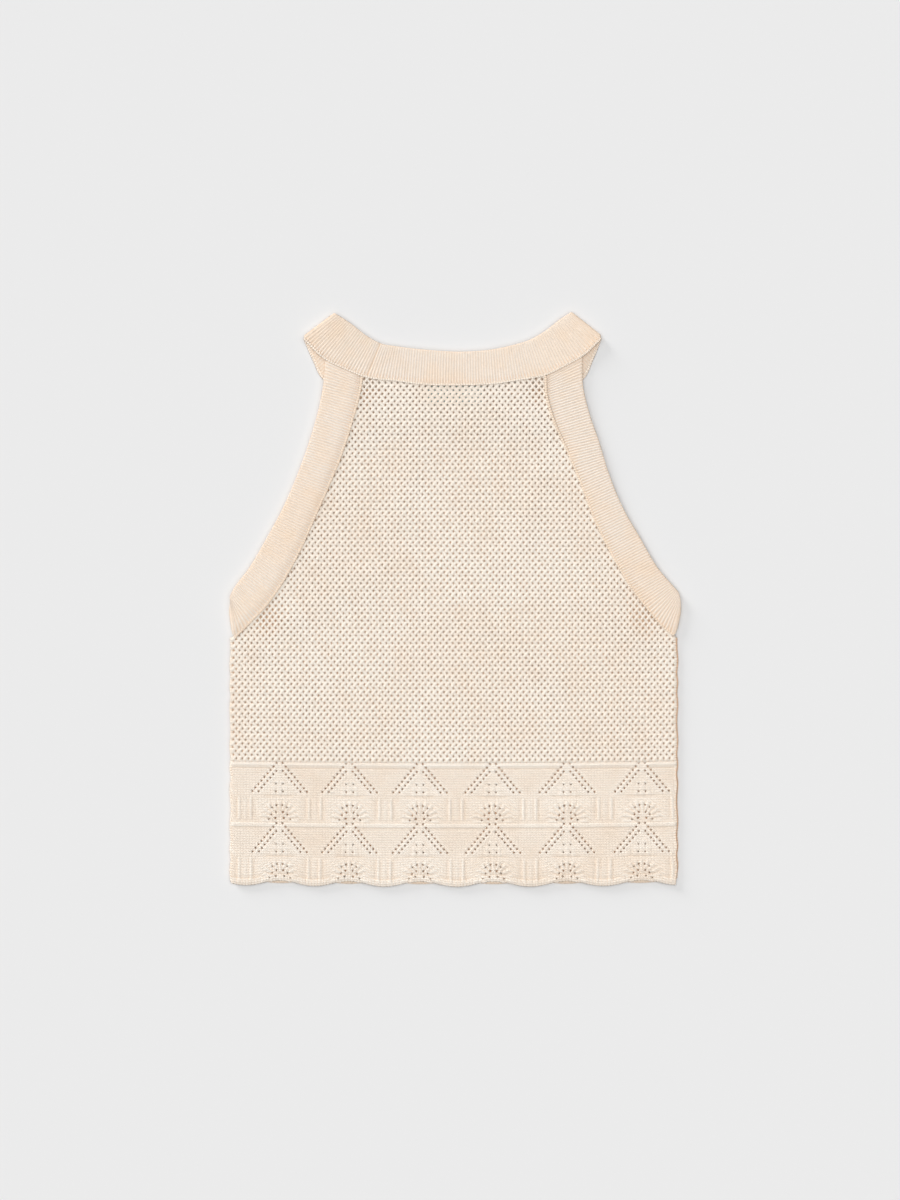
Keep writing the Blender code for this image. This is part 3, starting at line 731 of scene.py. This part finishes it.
def eyelet_places():
    for centre in MOTIF_CENTRES / MM:
        for ridge in (UPPER_RIDGE / MM, LOWER_RIDGE / MM):
            for side in (-1, 1):
                for aside, drop, step_aside, step_down, count in ARCH_EYELETS:
                    for i in range(count):
                        hole_x = centre + side * (aside + step_aside * i)
                        yield hole_x, ridge - drop - step_down * i, EYELET_RADIUS
                for aside, drop, radius in SINGLE_EYELETS:
                    yield centre + side * aside, ridge - drop, radius


def motif_relief(aside, middle, drop):
    """Height in millimetres beside a motif's centre. middle is the way to the middle between two motifs."""
    off = np.abs(aside)
    in_arch = blend(drop, -1.5, 1.0) * (1 - blend(drop, 23.0, 25.5))
    outer = 2.4 + 0.845 * (drop + 0.7)
    inner = 2.6 + 0.853 * (drop - 5.6)
    beads = 0.75 + 0.25 * np.cos(2 * math.pi * (drop + 0.7) / 2.83)
    height = 0.34 * bump(off, (outer + np.maximum(inner, -1.0)) / 2, 1.15) * in_arch * beads
    height += 0.22 * bump(off, outer + 2.2, 0.9) * in_arch * beads
    height += 0.22 * bump(off, inner - 2.2, 0.9) * in_arch * blend(drop, 8.0, 10.0)
    height += 0.15 * blend(outer - off, 0.0, 3.0) * in_arch
    onion = 7.5 * np.sqrt(np.clip((drop - 9.5) / 13.0, 0.0, 1.0))
    height -= 0.16 * bump(off, onion, 0.8) * blend(drop, 9.0, 11.0) * (1 - blend(drop, 22.0, 24.0))
    for bobble_aside, bobble_drop in BOBBLES:
        height += 0.4 * bump(np.hypot(off - bobble_aside, drop - bobble_drop), 0.0, 1.3)
    height -= 0.30 * bump(drop, 25.6, 0.8) * (1 - blend(off, 10.0, 13.0))
    height += 0.16 * bump(drop, 28.0, 1.1) * (1 - blend(off, 15.0, 19.0))
    reach = np.hypot(off, FAN_FOOT - drop)
    angle = np.arctan2(off, FAN_FOOT - drop)
    in_fan = blend(reach, 2.0, 4.5) * (1 - blend(reach, 13.0, 17.0)) * blend(drop, 28.5, 30.5)
    height += (0.15 + 0.45 * np.cos(angle * 2 * math.pi / FAN_RAY)) * in_fan
    in_leaf = blend(reach, 10.0, 13.0) * (1 - blend(off, 17.0, 19.5)) * blend(drop, 28.5, 30.0)
    in_leaf *= 1 - blend(drop, 43.0, 44.5)
    purls = np.cos(off * math.pi / 1.3) * np.cos(drop * math.pi / 1.5 + off * 1.3)
    height += (0.15 + 0.5 * purls) * in_leaf
    in_ribs = blend(drop, 26.0, 27.5) * (1 - blend(drop, 43.0, 44.5))
    height += (0.55 * bump(middle, 4.8, 0.7) - 0.30 * bump(middle, 7.0, 0.8)) * in_ribs
    height += (0.12 * bump(middle, 0.0, 1.6) - 0.16 * bump(middle, 2.9, 0.8)) * in_ribs
    return height


def border_relief(x, y):
    """Height of the pattern in metres, over the plain knitting."""
    phase = motif_phase(x)
    pitch = np.mean(np.diff(MOTIF_CENTRES)) / MM
    aside = (phase - np.round(phase)) * pitch
    middle = pitch / 2 - np.abs(aside)
    upper_drop, lower_drop = (UPPER_RIDGE - y) / MM, (LOWER_RIDGE - y) / MM
    wales = np.cos(2 * math.pi * x / PATTERN_WALE)
    height = np.zeros(np.shape(x))
    for drop in (upper_drop, lower_drop):
        clear = blend(np.abs(aside), 1.0, 4.5)
        height += (0.50 * bump(drop, 0.5, 1.7) * (1 + 0.2 * wales) - 0.35 * bump(drop, 3.1, 0.7)) * clear
        height -= 0.2 * bump(drop, -1.9, 0.7) * clear
    height += motif_relief(aside, middle, upper_drop) * (lower_drop < -2.0)
    height += motif_relief(aside, middle, lower_drop) * (lower_drop > -2.0)
    at_hem = blend(lower_drop, 41.0, 42.5)
    height += at_hem * (0.2 + 0.3 * wales) - 0.4 * bump(lower_drop, 41.2, 0.8)
    return height * MM


def border_shade(x, y, relief, patterned):
    """How light the yarn is painted: a painted highlight on raised stitches, and painted shade in sunk ones
    and round each eyelet. The front is painted in shade, and light only at its hem, where it shows."""
    # Painted shade: the front is dark where it lies under the back, and light only at its hem.
    if not patterned:
        return 1 - blend(y, FRONT_HEM + 3 * MM, FRONT_HEM + 9 * MM)
    # Painted light and shade: a painted highlight where the stitches are raised, painted shade where sunk.
    shade = SHADE_OF_PLAIN + PAINTED_LIGHT_WHEN_RAISED * np.maximum(relief, 0.0) / MM
    shade += PAINTED_SHADE_WHEN_SUNK * np.minimum(relief, 0.0) / MM
    # Painted shade round each eyelet, where the hole looks down into shade.
    for hole_x, hole_y, radius in eyelet_places():
        away = np.hypot(x / MM - hole_x, y / MM - hole_y)
        shade -= EYELET_SHADE * bump(away, 0.0, radius * EYELET_SHADE_REACH)
    return np.clip(shade, 0.0, 1.0)


# %% The border's grid
BORDER_STEP = 0.9 * MM
BORDER_WALL = 1.2 * MM
EDGE_FADE = 2.5 * MM
ROUNDED = 0.5 * MM


def open_eyelet(bm, corner, radius):
    """Takes out one corner of the grid and draws the eight points around it into a ring."""
    middle = corner.co.copy()
    ring = {vert for face in corner.link_faces for vert in face.verts if vert != corner}
    if len(ring) != 8:
        return False
    for vert in ring:
        outwards = vert.co - middle
        outwards.z = 0.0
        height = vert.co.z
        vert.co = middle + outwards.normalized() * radius
        vert.co.z = height
    bmesh.ops.delete(bm, geom=[corner], context="VERTS")
    return True


def make_border(name, sides, hem, lay_cloth, step, patterned, material, node):
    """The plain knitting from the mesh down to the hem, as a grid with a wall."""
    bm = bmesh.new()
    across = round((sides[1] - sides[0]) / step)
    down = round((BORDER_TOP - hem) / step)
    columns, courses = np.linspace(*sides, across + 1), np.linspace(BORDER_TOP, hem, down + 1)
    x, y = np.meshgrid(columns, courses, indexing="ij")
    relief = border_relief(x, y) * patterned
    edge = np.minimum(np.minimum(x - sides[0], sides[1] - x), y - hem)
    rounding = ROUNDED * (1 - blend(edge, 0.0, EDGE_FADE)) * patterned
    shade = border_shade(x, y, relief, patterned)
    knit = np.stack([y, x, shade], axis=-1)
    flat = np.stack([x, y, relief - rounding], axis=-1)
    shaped_grid(bm, flat, knit)

    def column_and_course(place_x, place_y):
        column = (place_x - sides[0]) / (sides[1] - sides[0]) * across
        return round(column), round((BORDER_TOP - place_y) / (BORDER_TOP - hem) * down)

    opened = 0
    if patterned:
        corners = {column_and_course(vert.co.x, vert.co.y): vert for vert in bm.verts}
        for hole_x, hole_y, radius in eyelet_places():
            corner = corners.get(column_and_course(hole_x * MM, hole_y * MM))
            if corner is not None and corner.is_valid and not corner.is_boundary:
                corner.co.x, corner.co.y = hole_x * MM, hole_y * MM
                opened += open_eyelet(bm, corner, radius * MM)
    flat = np.array([vert.co for vert in bm.verts])
    laid = lay_cloth(flat[:, 0], flat[:, 1], flat[:, 2] + BORDER_WALL)
    for vert, place_on_floor in zip(bm.verts, laid):
        vert.co = place_on_floor
    bmesh.ops.recalc_face_normals(bm, faces=bm.faces)
    if sum(face.normal.z for face in bm.faces) < 0:
        bmesh.ops.reverse_faces(bm, faces=bm.faces)
    bmesh.ops.solidify(bm, geom=bm.faces, thickness=BORDER_WALL)
    print(name, opened, "eyelets")
    return finish_piece(bm, name, material, node)


back_border = make_border(
    "back_border", BACK_SIDES, HEM, lay_back, BORDER_STEP, True,
    border_cotton, "back_panel",
)
front_border = make_border(
    "front_border", FRONT_SIDES, FRONT_HEM, lay_front, 2 * BORDER_STEP, False,
    front_border_cotton, "front_panel",
)

# %% [markdown]
# ## The ribbed bands
#
# The neckband is one long strip of fine rib, joined into a ring, and it folds over at each shoulder. The
# armhole bands are strips too, and fold under the arm. A strip could be extruded along a curve, but its
# ribs have to stay square to the edge while the band turns, so it is a grid rolled into a flat tube, with
# the measured sections telling where each row of points goes. The ribs are low in the middle and open
# into loops at the linked seam.

# %% A band from its sections
RIB_PITCH = 2.15 * MM
STEPS_PER_RIB = 4
BAND_HALF_WALL = 0.85 * MM
BAND_EDGE = 1.3 * MM
FOLD_STEPS = 9
RIM = (0.0, 0.012, 0.035, 0.09, 0.2, 0.35, 0.5, 0.65, 0.78, 0.86, 0.91, 0.95, 0.98, 1.0)
RIM_BACK = (0.96, 0.7, 0.3, 0.04)
RIB_HEIGHT, RIB_HEIGHT_AT_SEAM, RIB_HEIGHT_AT_EDGE = 0.24 * MM, 0.36 * MM, 0.2 * MM
RIB_HEIGHT_INSIDE = 0.15 * MM
INSIDE_SHADE = 0.35
SEAM_TAPER = 0.8 * MM
LOWEST = 0.02 * MM
FOLD_CORNER, UNDERARM_CORNER = 1.5 * MM, 9 * MM
RIBS_FADE = 2.2 * MM
FOLD_SHADE, EDGE_SHADE = 0.9, 0.35
BAND_SHADE, FINGER_SHADE, DOT_SHADE, GROOVE_SHADE = 0.62, 0.16, 0.4, 0.5
FINGERS_FULL, FINGERS_END = 2.0 * MM, 6.5 * MM
DOTS_AT, DOT_HALF, DOT_DEPTH = 2.4 * MM, 0.7 * MM, 0.30 * MM
GROOVE_DEPTH, GROOVE_HALF, GROOVE_SHADE_HALF = 0.5 * MM, 0.8 * MM, 0.9 * MM
TAPER_WIDTH = 6 * MM
RIM_MERGE = 0.01 * MM
NECK_RIB_CONTRAST, ARMHOLE_RIB_CONTRAST = 0.26, 0.5
TURN_STARTS = 0.1


def band_stations(rows, turn_start, turn_end, normal):
    """The rows of points of one stretch: sections, turns round the fold and the fold's direction."""
    turns = np.linspace(turn_start, turn_end, len(rows))
    return rows, turns, np.tile(normal, (len(rows), 1))


def roll_band(stretches, groove, rib_contrast):
    """Places and knit values of a band's grid. Each stretch is (sections, turns, normals)."""
    sections = np.concatenate([s[0] for s in stretches])
    turns = np.concatenate([s[1] for s in stretches])
    normals = np.concatenate([s[2] for s in stretches])
    free, seam = sections[:, None, :2], sections[:, None, 2:]
    width = np.linalg.norm(seam - free, axis=2)
    share = np.array(RIM + RIM_BACK + RIM[:1])
    outer = np.array([1.0] * len(RIM) + [-1.0] * len(RIM_BACK) + [1.0])
    to_edge = np.minimum(share, 1 - share) * width
    round_edge = np.sqrt(np.clip(1 - (1 - np.clip(to_edge / BAND_EDGE, 0.0, 1.0)) ** 2, 0.0, 1.0))
    middles = (sections[:, :2] + sections[:, 2:]) / 2 + normals * np.sin(turns)[:, None] * BAND_LAYER
    centre_line = np.concatenate([middles, BAND_REACH + np.cos(turns)[:, None] * BAND_LAYER], axis=1)
    along = np.concatenate([[0.0], np.cumsum(np.linalg.norm(np.diff(centre_line, axis=0), axis=1))])
    ribs = np.cos(2 * math.pi * along / RIB_PITCH)[:, None]
    to_seam, to_free = (1 - share) * width, share * width
    rib_height = RIB_HEIGHT + (RIB_HEIGHT_AT_SEAM - RIB_HEIGHT) * (1 - blend(to_seam, 2.0 * MM, 8.0 * MM))
    rib_height += (RIB_HEIGHT_AT_EDGE - RIB_HEIGHT) * (1 - blend(to_free, 0.0, 4.0 * MM))
    rib_height = np.where(outer > 0, rib_height, -RIB_HEIGHT_INSIDE) * round_edge
    # A closed band ends where it began, so the way to a fold may also go round the end.
    folded = along[np.abs(np.sin(turns)) > math.sin(TURN_STARTS) / 2]
    from_fold = np.abs(along[:, None] - folded)
    from_fold = np.min(np.minimum(from_fold, along[-1] - from_fold), axis=1)[:, None]
    rib_height = rib_height * blend(from_fold, 0.0, RIBS_FADE)
    dotted = DOT_DEPTH * bump(to_seam, DOTS_AT, DOT_HALF) * (1 - ribs) / 2 * blend(from_fold, 0.0, RIBS_FADE)
    fingers = 1 - blend(to_seam, FINGERS_FULL, FINGERS_END)
    lift = outer * BAND_HALF_WALL * round_edge + rib_height * ribs - dotted * (outer > 0)
    if groove is not None:
        lift = lift - GROOVE_DEPTH * bump(along[:, None], groove, GROOVE_HALF) * (outer > 0)
    lift = lift - SEAM_TAPER * (1 - blend(to_seam, 0.0, TAPER_WIDTH)) * (outer > 0) * (groove is None)
    radius = BAND_LAYER + lift
    flat = free + (seam - free) * share[:, None]
    corner = blend(to_edge, -1.0 * MM, FOLD_CORNER)
    if groove is None:
        corner = corner * blend(to_free, -2.0 * MM, UNDERARM_CORNER)
    flat = flat + normals[:, None, :] * (np.sin(turns)[:, None] * radius * corner)[:, :, None]
    height = np.maximum(BAND_REACH + np.cos(turns)[:, None] * radius, LOWEST)
    # Painted light and shade: lighter rib crests, darker gaps between them, more so in the loops at the
    # seam, and painted shade in the dotted line.
    shade = BAND_SHADE + (rib_contrast + FINGER_SHADE * fingers) * ribs - DOT_SHADE * dotted / DOT_DEPTH
    # Painted shade on the inner face, where it shows under the shoulder.
    shade = np.where(outer > 0, shade, INSIDE_SHADE + 0.35 * ribs)
    # Painted shade in the groove at the neckband's join.
    if groove is not None:
        shade = shade - GROOVE_SHADE * bump(along[:, None], groove, GROOVE_SHADE_HALF)
    # Painted shade on the folds and along the free edge.
    shade = shade - FOLD_SHADE * np.abs(np.sin(turns))[:, None] - EDGE_SHADE * bump(to_free, 0.0, MM)
    knit = np.stack(np.broadcast_arrays(share * width, along[:, None], np.clip(shade, 0.0, 1.0)), axis=-1)
    return np.concatenate([flat, height[:, :, None]], axis=2), knit, along[-1], float(np.mean(width))


def make_band(name, stretches, groove, rib_contrast, closed, node):
    bm = bmesh.new()
    places, knit, length, width = roll_band(stretches, groove, rib_contrast)
    shaped_grid(bm, places, knit)
    bmesh.ops.remove_doubles(bm, verts=bm.verts, dist=RIM_MERGE)
    if not closed:
        bmesh.ops.holes_fill(bm, edges=bm.edges, sides=0)
    bmesh.ops.recalc_face_normals(bm, faces=bm.faces)
    piece = finish_piece(bm, name, rib_cotton, node)
    print(name, "is", round(length / MM), "by", round(width / MM, 1), "mm")


# %% The neckband
STEP = RIB_PITCH / STEPS_PER_RIB
neck_back, left_fold = pull_in(NECKBAND_BACK, 0)
neck_right, right_fold = pull_in(NECKBAND_BACK, -1)
neck_back[-1] = neck_right[-1]
neck_front = np.array(NECKBAND_FRONT) * MM
neck_front[0], neck_front[-1] = neck_back[-1], neck_back[0]
STILL = np.zeros(2)
upper_rows, _ = smooth_sections(neck_back, STEP)
lower_rows, _ = smooth_sections(neck_front, STEP)
middles = (neck_back[:, :2] + neck_back[:, 2:]) / 2
JOIN_SECTION = 3
join_at = float(np.sum(np.linalg.norm(np.diff(middles[: JOIN_SECTION + 1], axis=0), axis=1)))
fold_right = np.tile(neck_back[-1], (FOLD_STEPS, 1))
fold_left = np.tile(neck_back[0], (FOLD_STEPS, 1))
make_band(
    "neckband_rib",
    [
        band_stations(upper_rows, 0.0, 0.0, STILL),
        band_stations(fold_right, TURN_STARTS, math.pi - TURN_STARTS, right_fold),
        band_stations(lower_rows, math.pi, math.pi, STILL),
        band_stations(fold_left, math.pi + TURN_STARTS, 2 * math.pi - TURN_STARTS, -left_fold),
        band_stations(upper_rows[:1], 2 * math.pi, 2 * math.pi, STILL),
    ],
    join_at,
    NECK_RIB_CONTRAST,
    True,
    "neckband",
)


# %% The armhole bands
def armhole_sections(side, table):
    """The sections down the back to the underarm, the fold's direction, and the sections up the front."""
    back, normal = pull_in(table, -1)
    front = back[:1:-1].copy()
    shift = front[1:, 2:] - front[1:, :2]
    front[1:, :2] += shift / np.linalg.norm(shift, axis=1)[:, None] * FRONT_BAND_INSET
    return back, normal, np.vstack([front, np.array([FRONT_BAND_TOPS[side]]) * MM])


def make_armhole_band(side, table):
    back, normal, front = armhole_sections(side, table)
    back_rows, _ = smooth_sections(back, STEP)
    front_rows, _ = smooth_sections(front, STEP)
    fold_rows = np.tile(back[-1], (FOLD_STEPS, 1))
    stretches = [
        band_stations(back_rows, 0.0, 0.0, STILL),
        band_stations(fold_rows, TURN_STARTS, math.pi - TURN_STARTS, normal),
        band_stations(front_rows, math.pi, math.pi, STILL),
    ]
    name, node = f"armhole_rib_{side}", f"armhole_band_{side}"
    make_band(name, stretches, None, ARMHOLE_RIB_CONTRAST, False, node)


make_armhole_band("left", LEFT_BAND)
make_armhole_band("right", RIGHT_BAND)

# %% [markdown]
# ## The linked seams
#
# A linking machine joins each band to its panel with a chain stitch, which shows as a row of small
# slanting loops. A long tube alone would look like piping, so the seam has both: a flat cord that closes
# the slit beside the band, and on it small loops, each a ball of 20 faces, stretched and turned, in pairs
# like the legs of a chain.

# %% Chains along the seams
LOOP_PITCH = 2.0 * MM
LOOP_SIZE = (1.15 * MM, 0.52 * MM, 0.4 * MM)
LOOP_LEAN = math.radians(24)
LOOP_ASIDE = 0.45 * MM
CORD_WIDTH, CORD_THICKNESS, CORD_DROP, CORD_SIDES = 2.1 * MM, 0.6 * MM, 0.25 * MM, 6
CORD_SHADE, CORD_SHADE_WAVE = 0.45, 0.2
LOOP_SHADE, LOOP_SHADE_STEP = 0.75, 0.25


def lay_cord(bm, line, along, aside):
    """The linked yarn between the loops: a flat tube that closes the slit beside the band."""
    heading = np.arctan2(np.gradient(line[:, 1]), np.gradient(line[:, 0]))[:, None]
    turn = np.linspace(0.0, 2 * math.pi, CORD_SIDES + 1)
    off = aside + CORD_WIDTH / 2 * np.cos(turn)
    x = line[:, :1] - np.sin(heading) * off
    y = line[:, 1:2] + np.cos(heading) * off
    z = line[:, 2:] - CORD_DROP + CORD_THICKNESS / 2 * np.sin(turn)
    # Painted shade: the cord lies low in the slit beside the band, so it is painted darker, waving along it
    # at the loops' pitch.
    shade = CORD_SHADE + CORD_SHADE_WAVE * np.sin(2 * math.pi * along / LOOP_PITCH)[:, None]
    knit = np.stack(np.broadcast_arrays(along[:, None], off, shade), axis=-1)
    shaped_grid(bm, np.stack([x, y, z], axis=-1), knit)
    bmesh.ops.remove_doubles(bm, verts=bm.verts, dist=SAME_POINT)
    bmesh.ops.holes_fill(bm, edges=bm.edges, sides=CORD_SIDES)


def make_chain(name, line, aside, material):
    """Pairs of slanting loops beside a line of (x, y, z) points. A positive aside is to the line's left."""
    bm = bmesh.new()
    layer = knit_layer(bm)
    along = np.concatenate([[0.0], np.cumsum(np.linalg.norm(np.diff(line, axis=0), axis=1))])
    lay_cord(bm, line, along, aside)
    where = np.arange(LOOP_PITCH / 2, along[-1], LOOP_PITCH)
    x, y, z = (np.interp(where, along, values) for values in line.T)
    heading = np.arctan2(np.gradient(y), np.gradient(x))
    # One leg of each pair is drawn darker than the other.
    for i in range(len(where)):
        for side in (-1, 1):
            off = aside + side * LOOP_ASIDE
            centre = (x[i] - math.sin(heading[i]) * off, y[i] + math.cos(heading[i]) * off, z[i])
            matrix = Matrix.Translation(centre) @ Matrix.Rotation(heading[i] - side * LOOP_LEAN, 4, "Z")
            matrix = matrix @ Matrix.Diagonal((*LOOP_SIZE, 1.0))
            for vert in bmesh.ops.create_icosphere(bm, subdivisions=1, radius=1.0, matrix=matrix)["verts"]:
                vert[layer] = (where[i], off, LOOP_SHADE - LOOP_SHADE_STEP * side)
    bmesh.ops.recalc_face_normals(bm, faces=bm.faces)
    return finish_piece(bm, name, material, None)


def cloth_top(y):
    """The height of the back's upper face."""
    return BACK_UNDERSIDE + neck_lift(y) + BACK_THICKNESS


BACK_THICKNESS = 1.4 * MM
CHAIN_ASIDE = 0.35 * MM
CHAIN_LIFT = 0.1 * MM
CHAIN_OVER_BAND = 4.2 * MM
FRONT_CHAIN_LEVEL = 1.5 * MM
for side, table in (("left", LEFT_BAND), ("right", RIGHT_BAND)):
    rows, _ = smooth_sections(armhole_sections(side, table)[0], STEP)
    seam_line = np.column_stack([rows[:, 2:], cloth_top(rows[:, 3]) + CHAIN_LIFT])
    towards_net = CHAIN_ASIDE if side == "left" else -CHAIN_ASIDE
    make_chain(f"armhole_seam_{side}", seam_line, towards_net, seam_cotton)
neck_heights = np.maximum(cloth_top(upper_rows[:, 3]), CHAIN_OVER_BAND)
neck_line = np.column_stack([upper_rows[:, 2:], neck_heights])
make_chain("neck_seam", neck_line, -CHAIN_ASIDE, neck_seam_cotton)
front_line = np.column_stack([lower_rows[:, 2:], np.full(len(lower_rows), FRONT_CHAIN_LEVEL)])
make_chain("front_neck_seam", front_line, 0.0, neck_seam_cotton)

# %% Selvedges down the sides
SELVEDGE_FROM, SELVEDGE_MIDDLE, SELVEDGE_INSET = -30 * MM, 0.75 * MM, 0.5 * MM
SELVEDGE_POINTS = 80
for panel, sides, hem, lay_cloth, yarn in (
    ("back", BACK_SIDES, HEM, lay_back, net_cotton),
    ("front", FRONT_SIDES, FRONT_HEM, lay_front, front_net_cotton),
):
    edge_y = np.linspace(SELVEDGE_FROM, hem + MM, SELVEDGE_POINTS)
    middle = np.full(SELVEDGE_POINTS, SELVEDGE_MIDDLE)
    for side, edge_x, inwards in (("left", sides[0], 1), ("right", sides[1], -1)):
        line = lay_cloth(np.full(SELVEDGE_POINTS, edge_x + inwards * SELVEDGE_INSET), edge_y, middle)
        make_chain(f"{panel}_selvedge_{side}", line, 0.0, yarn)

# %% [markdown]
# ## The label
#
# A small woven label is sewn into the neck seam on the inside and shows as a grey-green tint through the
# mesh. It is blank. It is a thin flat plate, and its material has a fine satin weave. Its grey-green is
# painted far darker than the label itself: painted shade from the mesh over it.

# %% The label's plate
LABEL_WIDTH, LABEL_DEPTH, LABEL_WALL = 46 * MM, 15 * MM, 0.5 * MM
LABEL_CENTRE_X, LABEL_TOP = -0.5 * MM, 169.9 * MM
LABEL_ROUGHNESS = 0.5
# Painted shade: both weave colours are far darker than the label itself, for the shade under the mesh.
LABEL_DARK_IN_SHADE, LABEL_LIGHT_IN_SHADE = (0.38, 0.49, 0.46, 1.0), (0.44, 0.55, 0.52, 1.0)
WEAVE_SCALE = 900

label_satin = bpy.data.materials.new("woven_label")
label_satin.use_nodes = True
label_tree = label_satin.node_tree
label_shader = label_tree.nodes["Principled BSDF"]
label_shader.inputs["Roughness"].default_value = LABEL_ROUGHNESS
weave = label_tree.nodes.new("ShaderNodeTexWave")
weave.inputs["Scale"].default_value = WEAVE_SCALE
label_place = label_tree.nodes.new("ShaderNodeTexCoord")
label_tree.links.new(label_place.outputs["Object"], weave.inputs["Vector"])
woven = mix_colour(label_tree, weave.outputs["Fac"], LABEL_DARK_IN_SHADE, LABEL_LIGHT_IN_SHADE)
label_tree.links.new(woven, label_shader.inputs["Base Color"])

label_bm = bmesh.new()
bmesh.ops.create_grid(label_bm, x_segments=46, y_segments=15, size=1)
bmesh.ops.scale(label_bm, vec=(LABEL_WIDTH / 2, LABEL_DEPTH / 2, 1.0), verts=label_bm.verts)
label_middle = (LABEL_CENTRE_X, LABEL_TOP - LABEL_DEPTH / 2, BACK_UNDERSIDE + 2 * LABEL_WALL)
bmesh.ops.translate(label_bm, vec=label_middle, verts=label_bm.verts)
bmesh.ops.solidify(label_bm, geom=label_bm.faces, thickness=LABEL_WALL)
label = finish_piece(label_bm, "label_tape", label_satin, "neck_label")
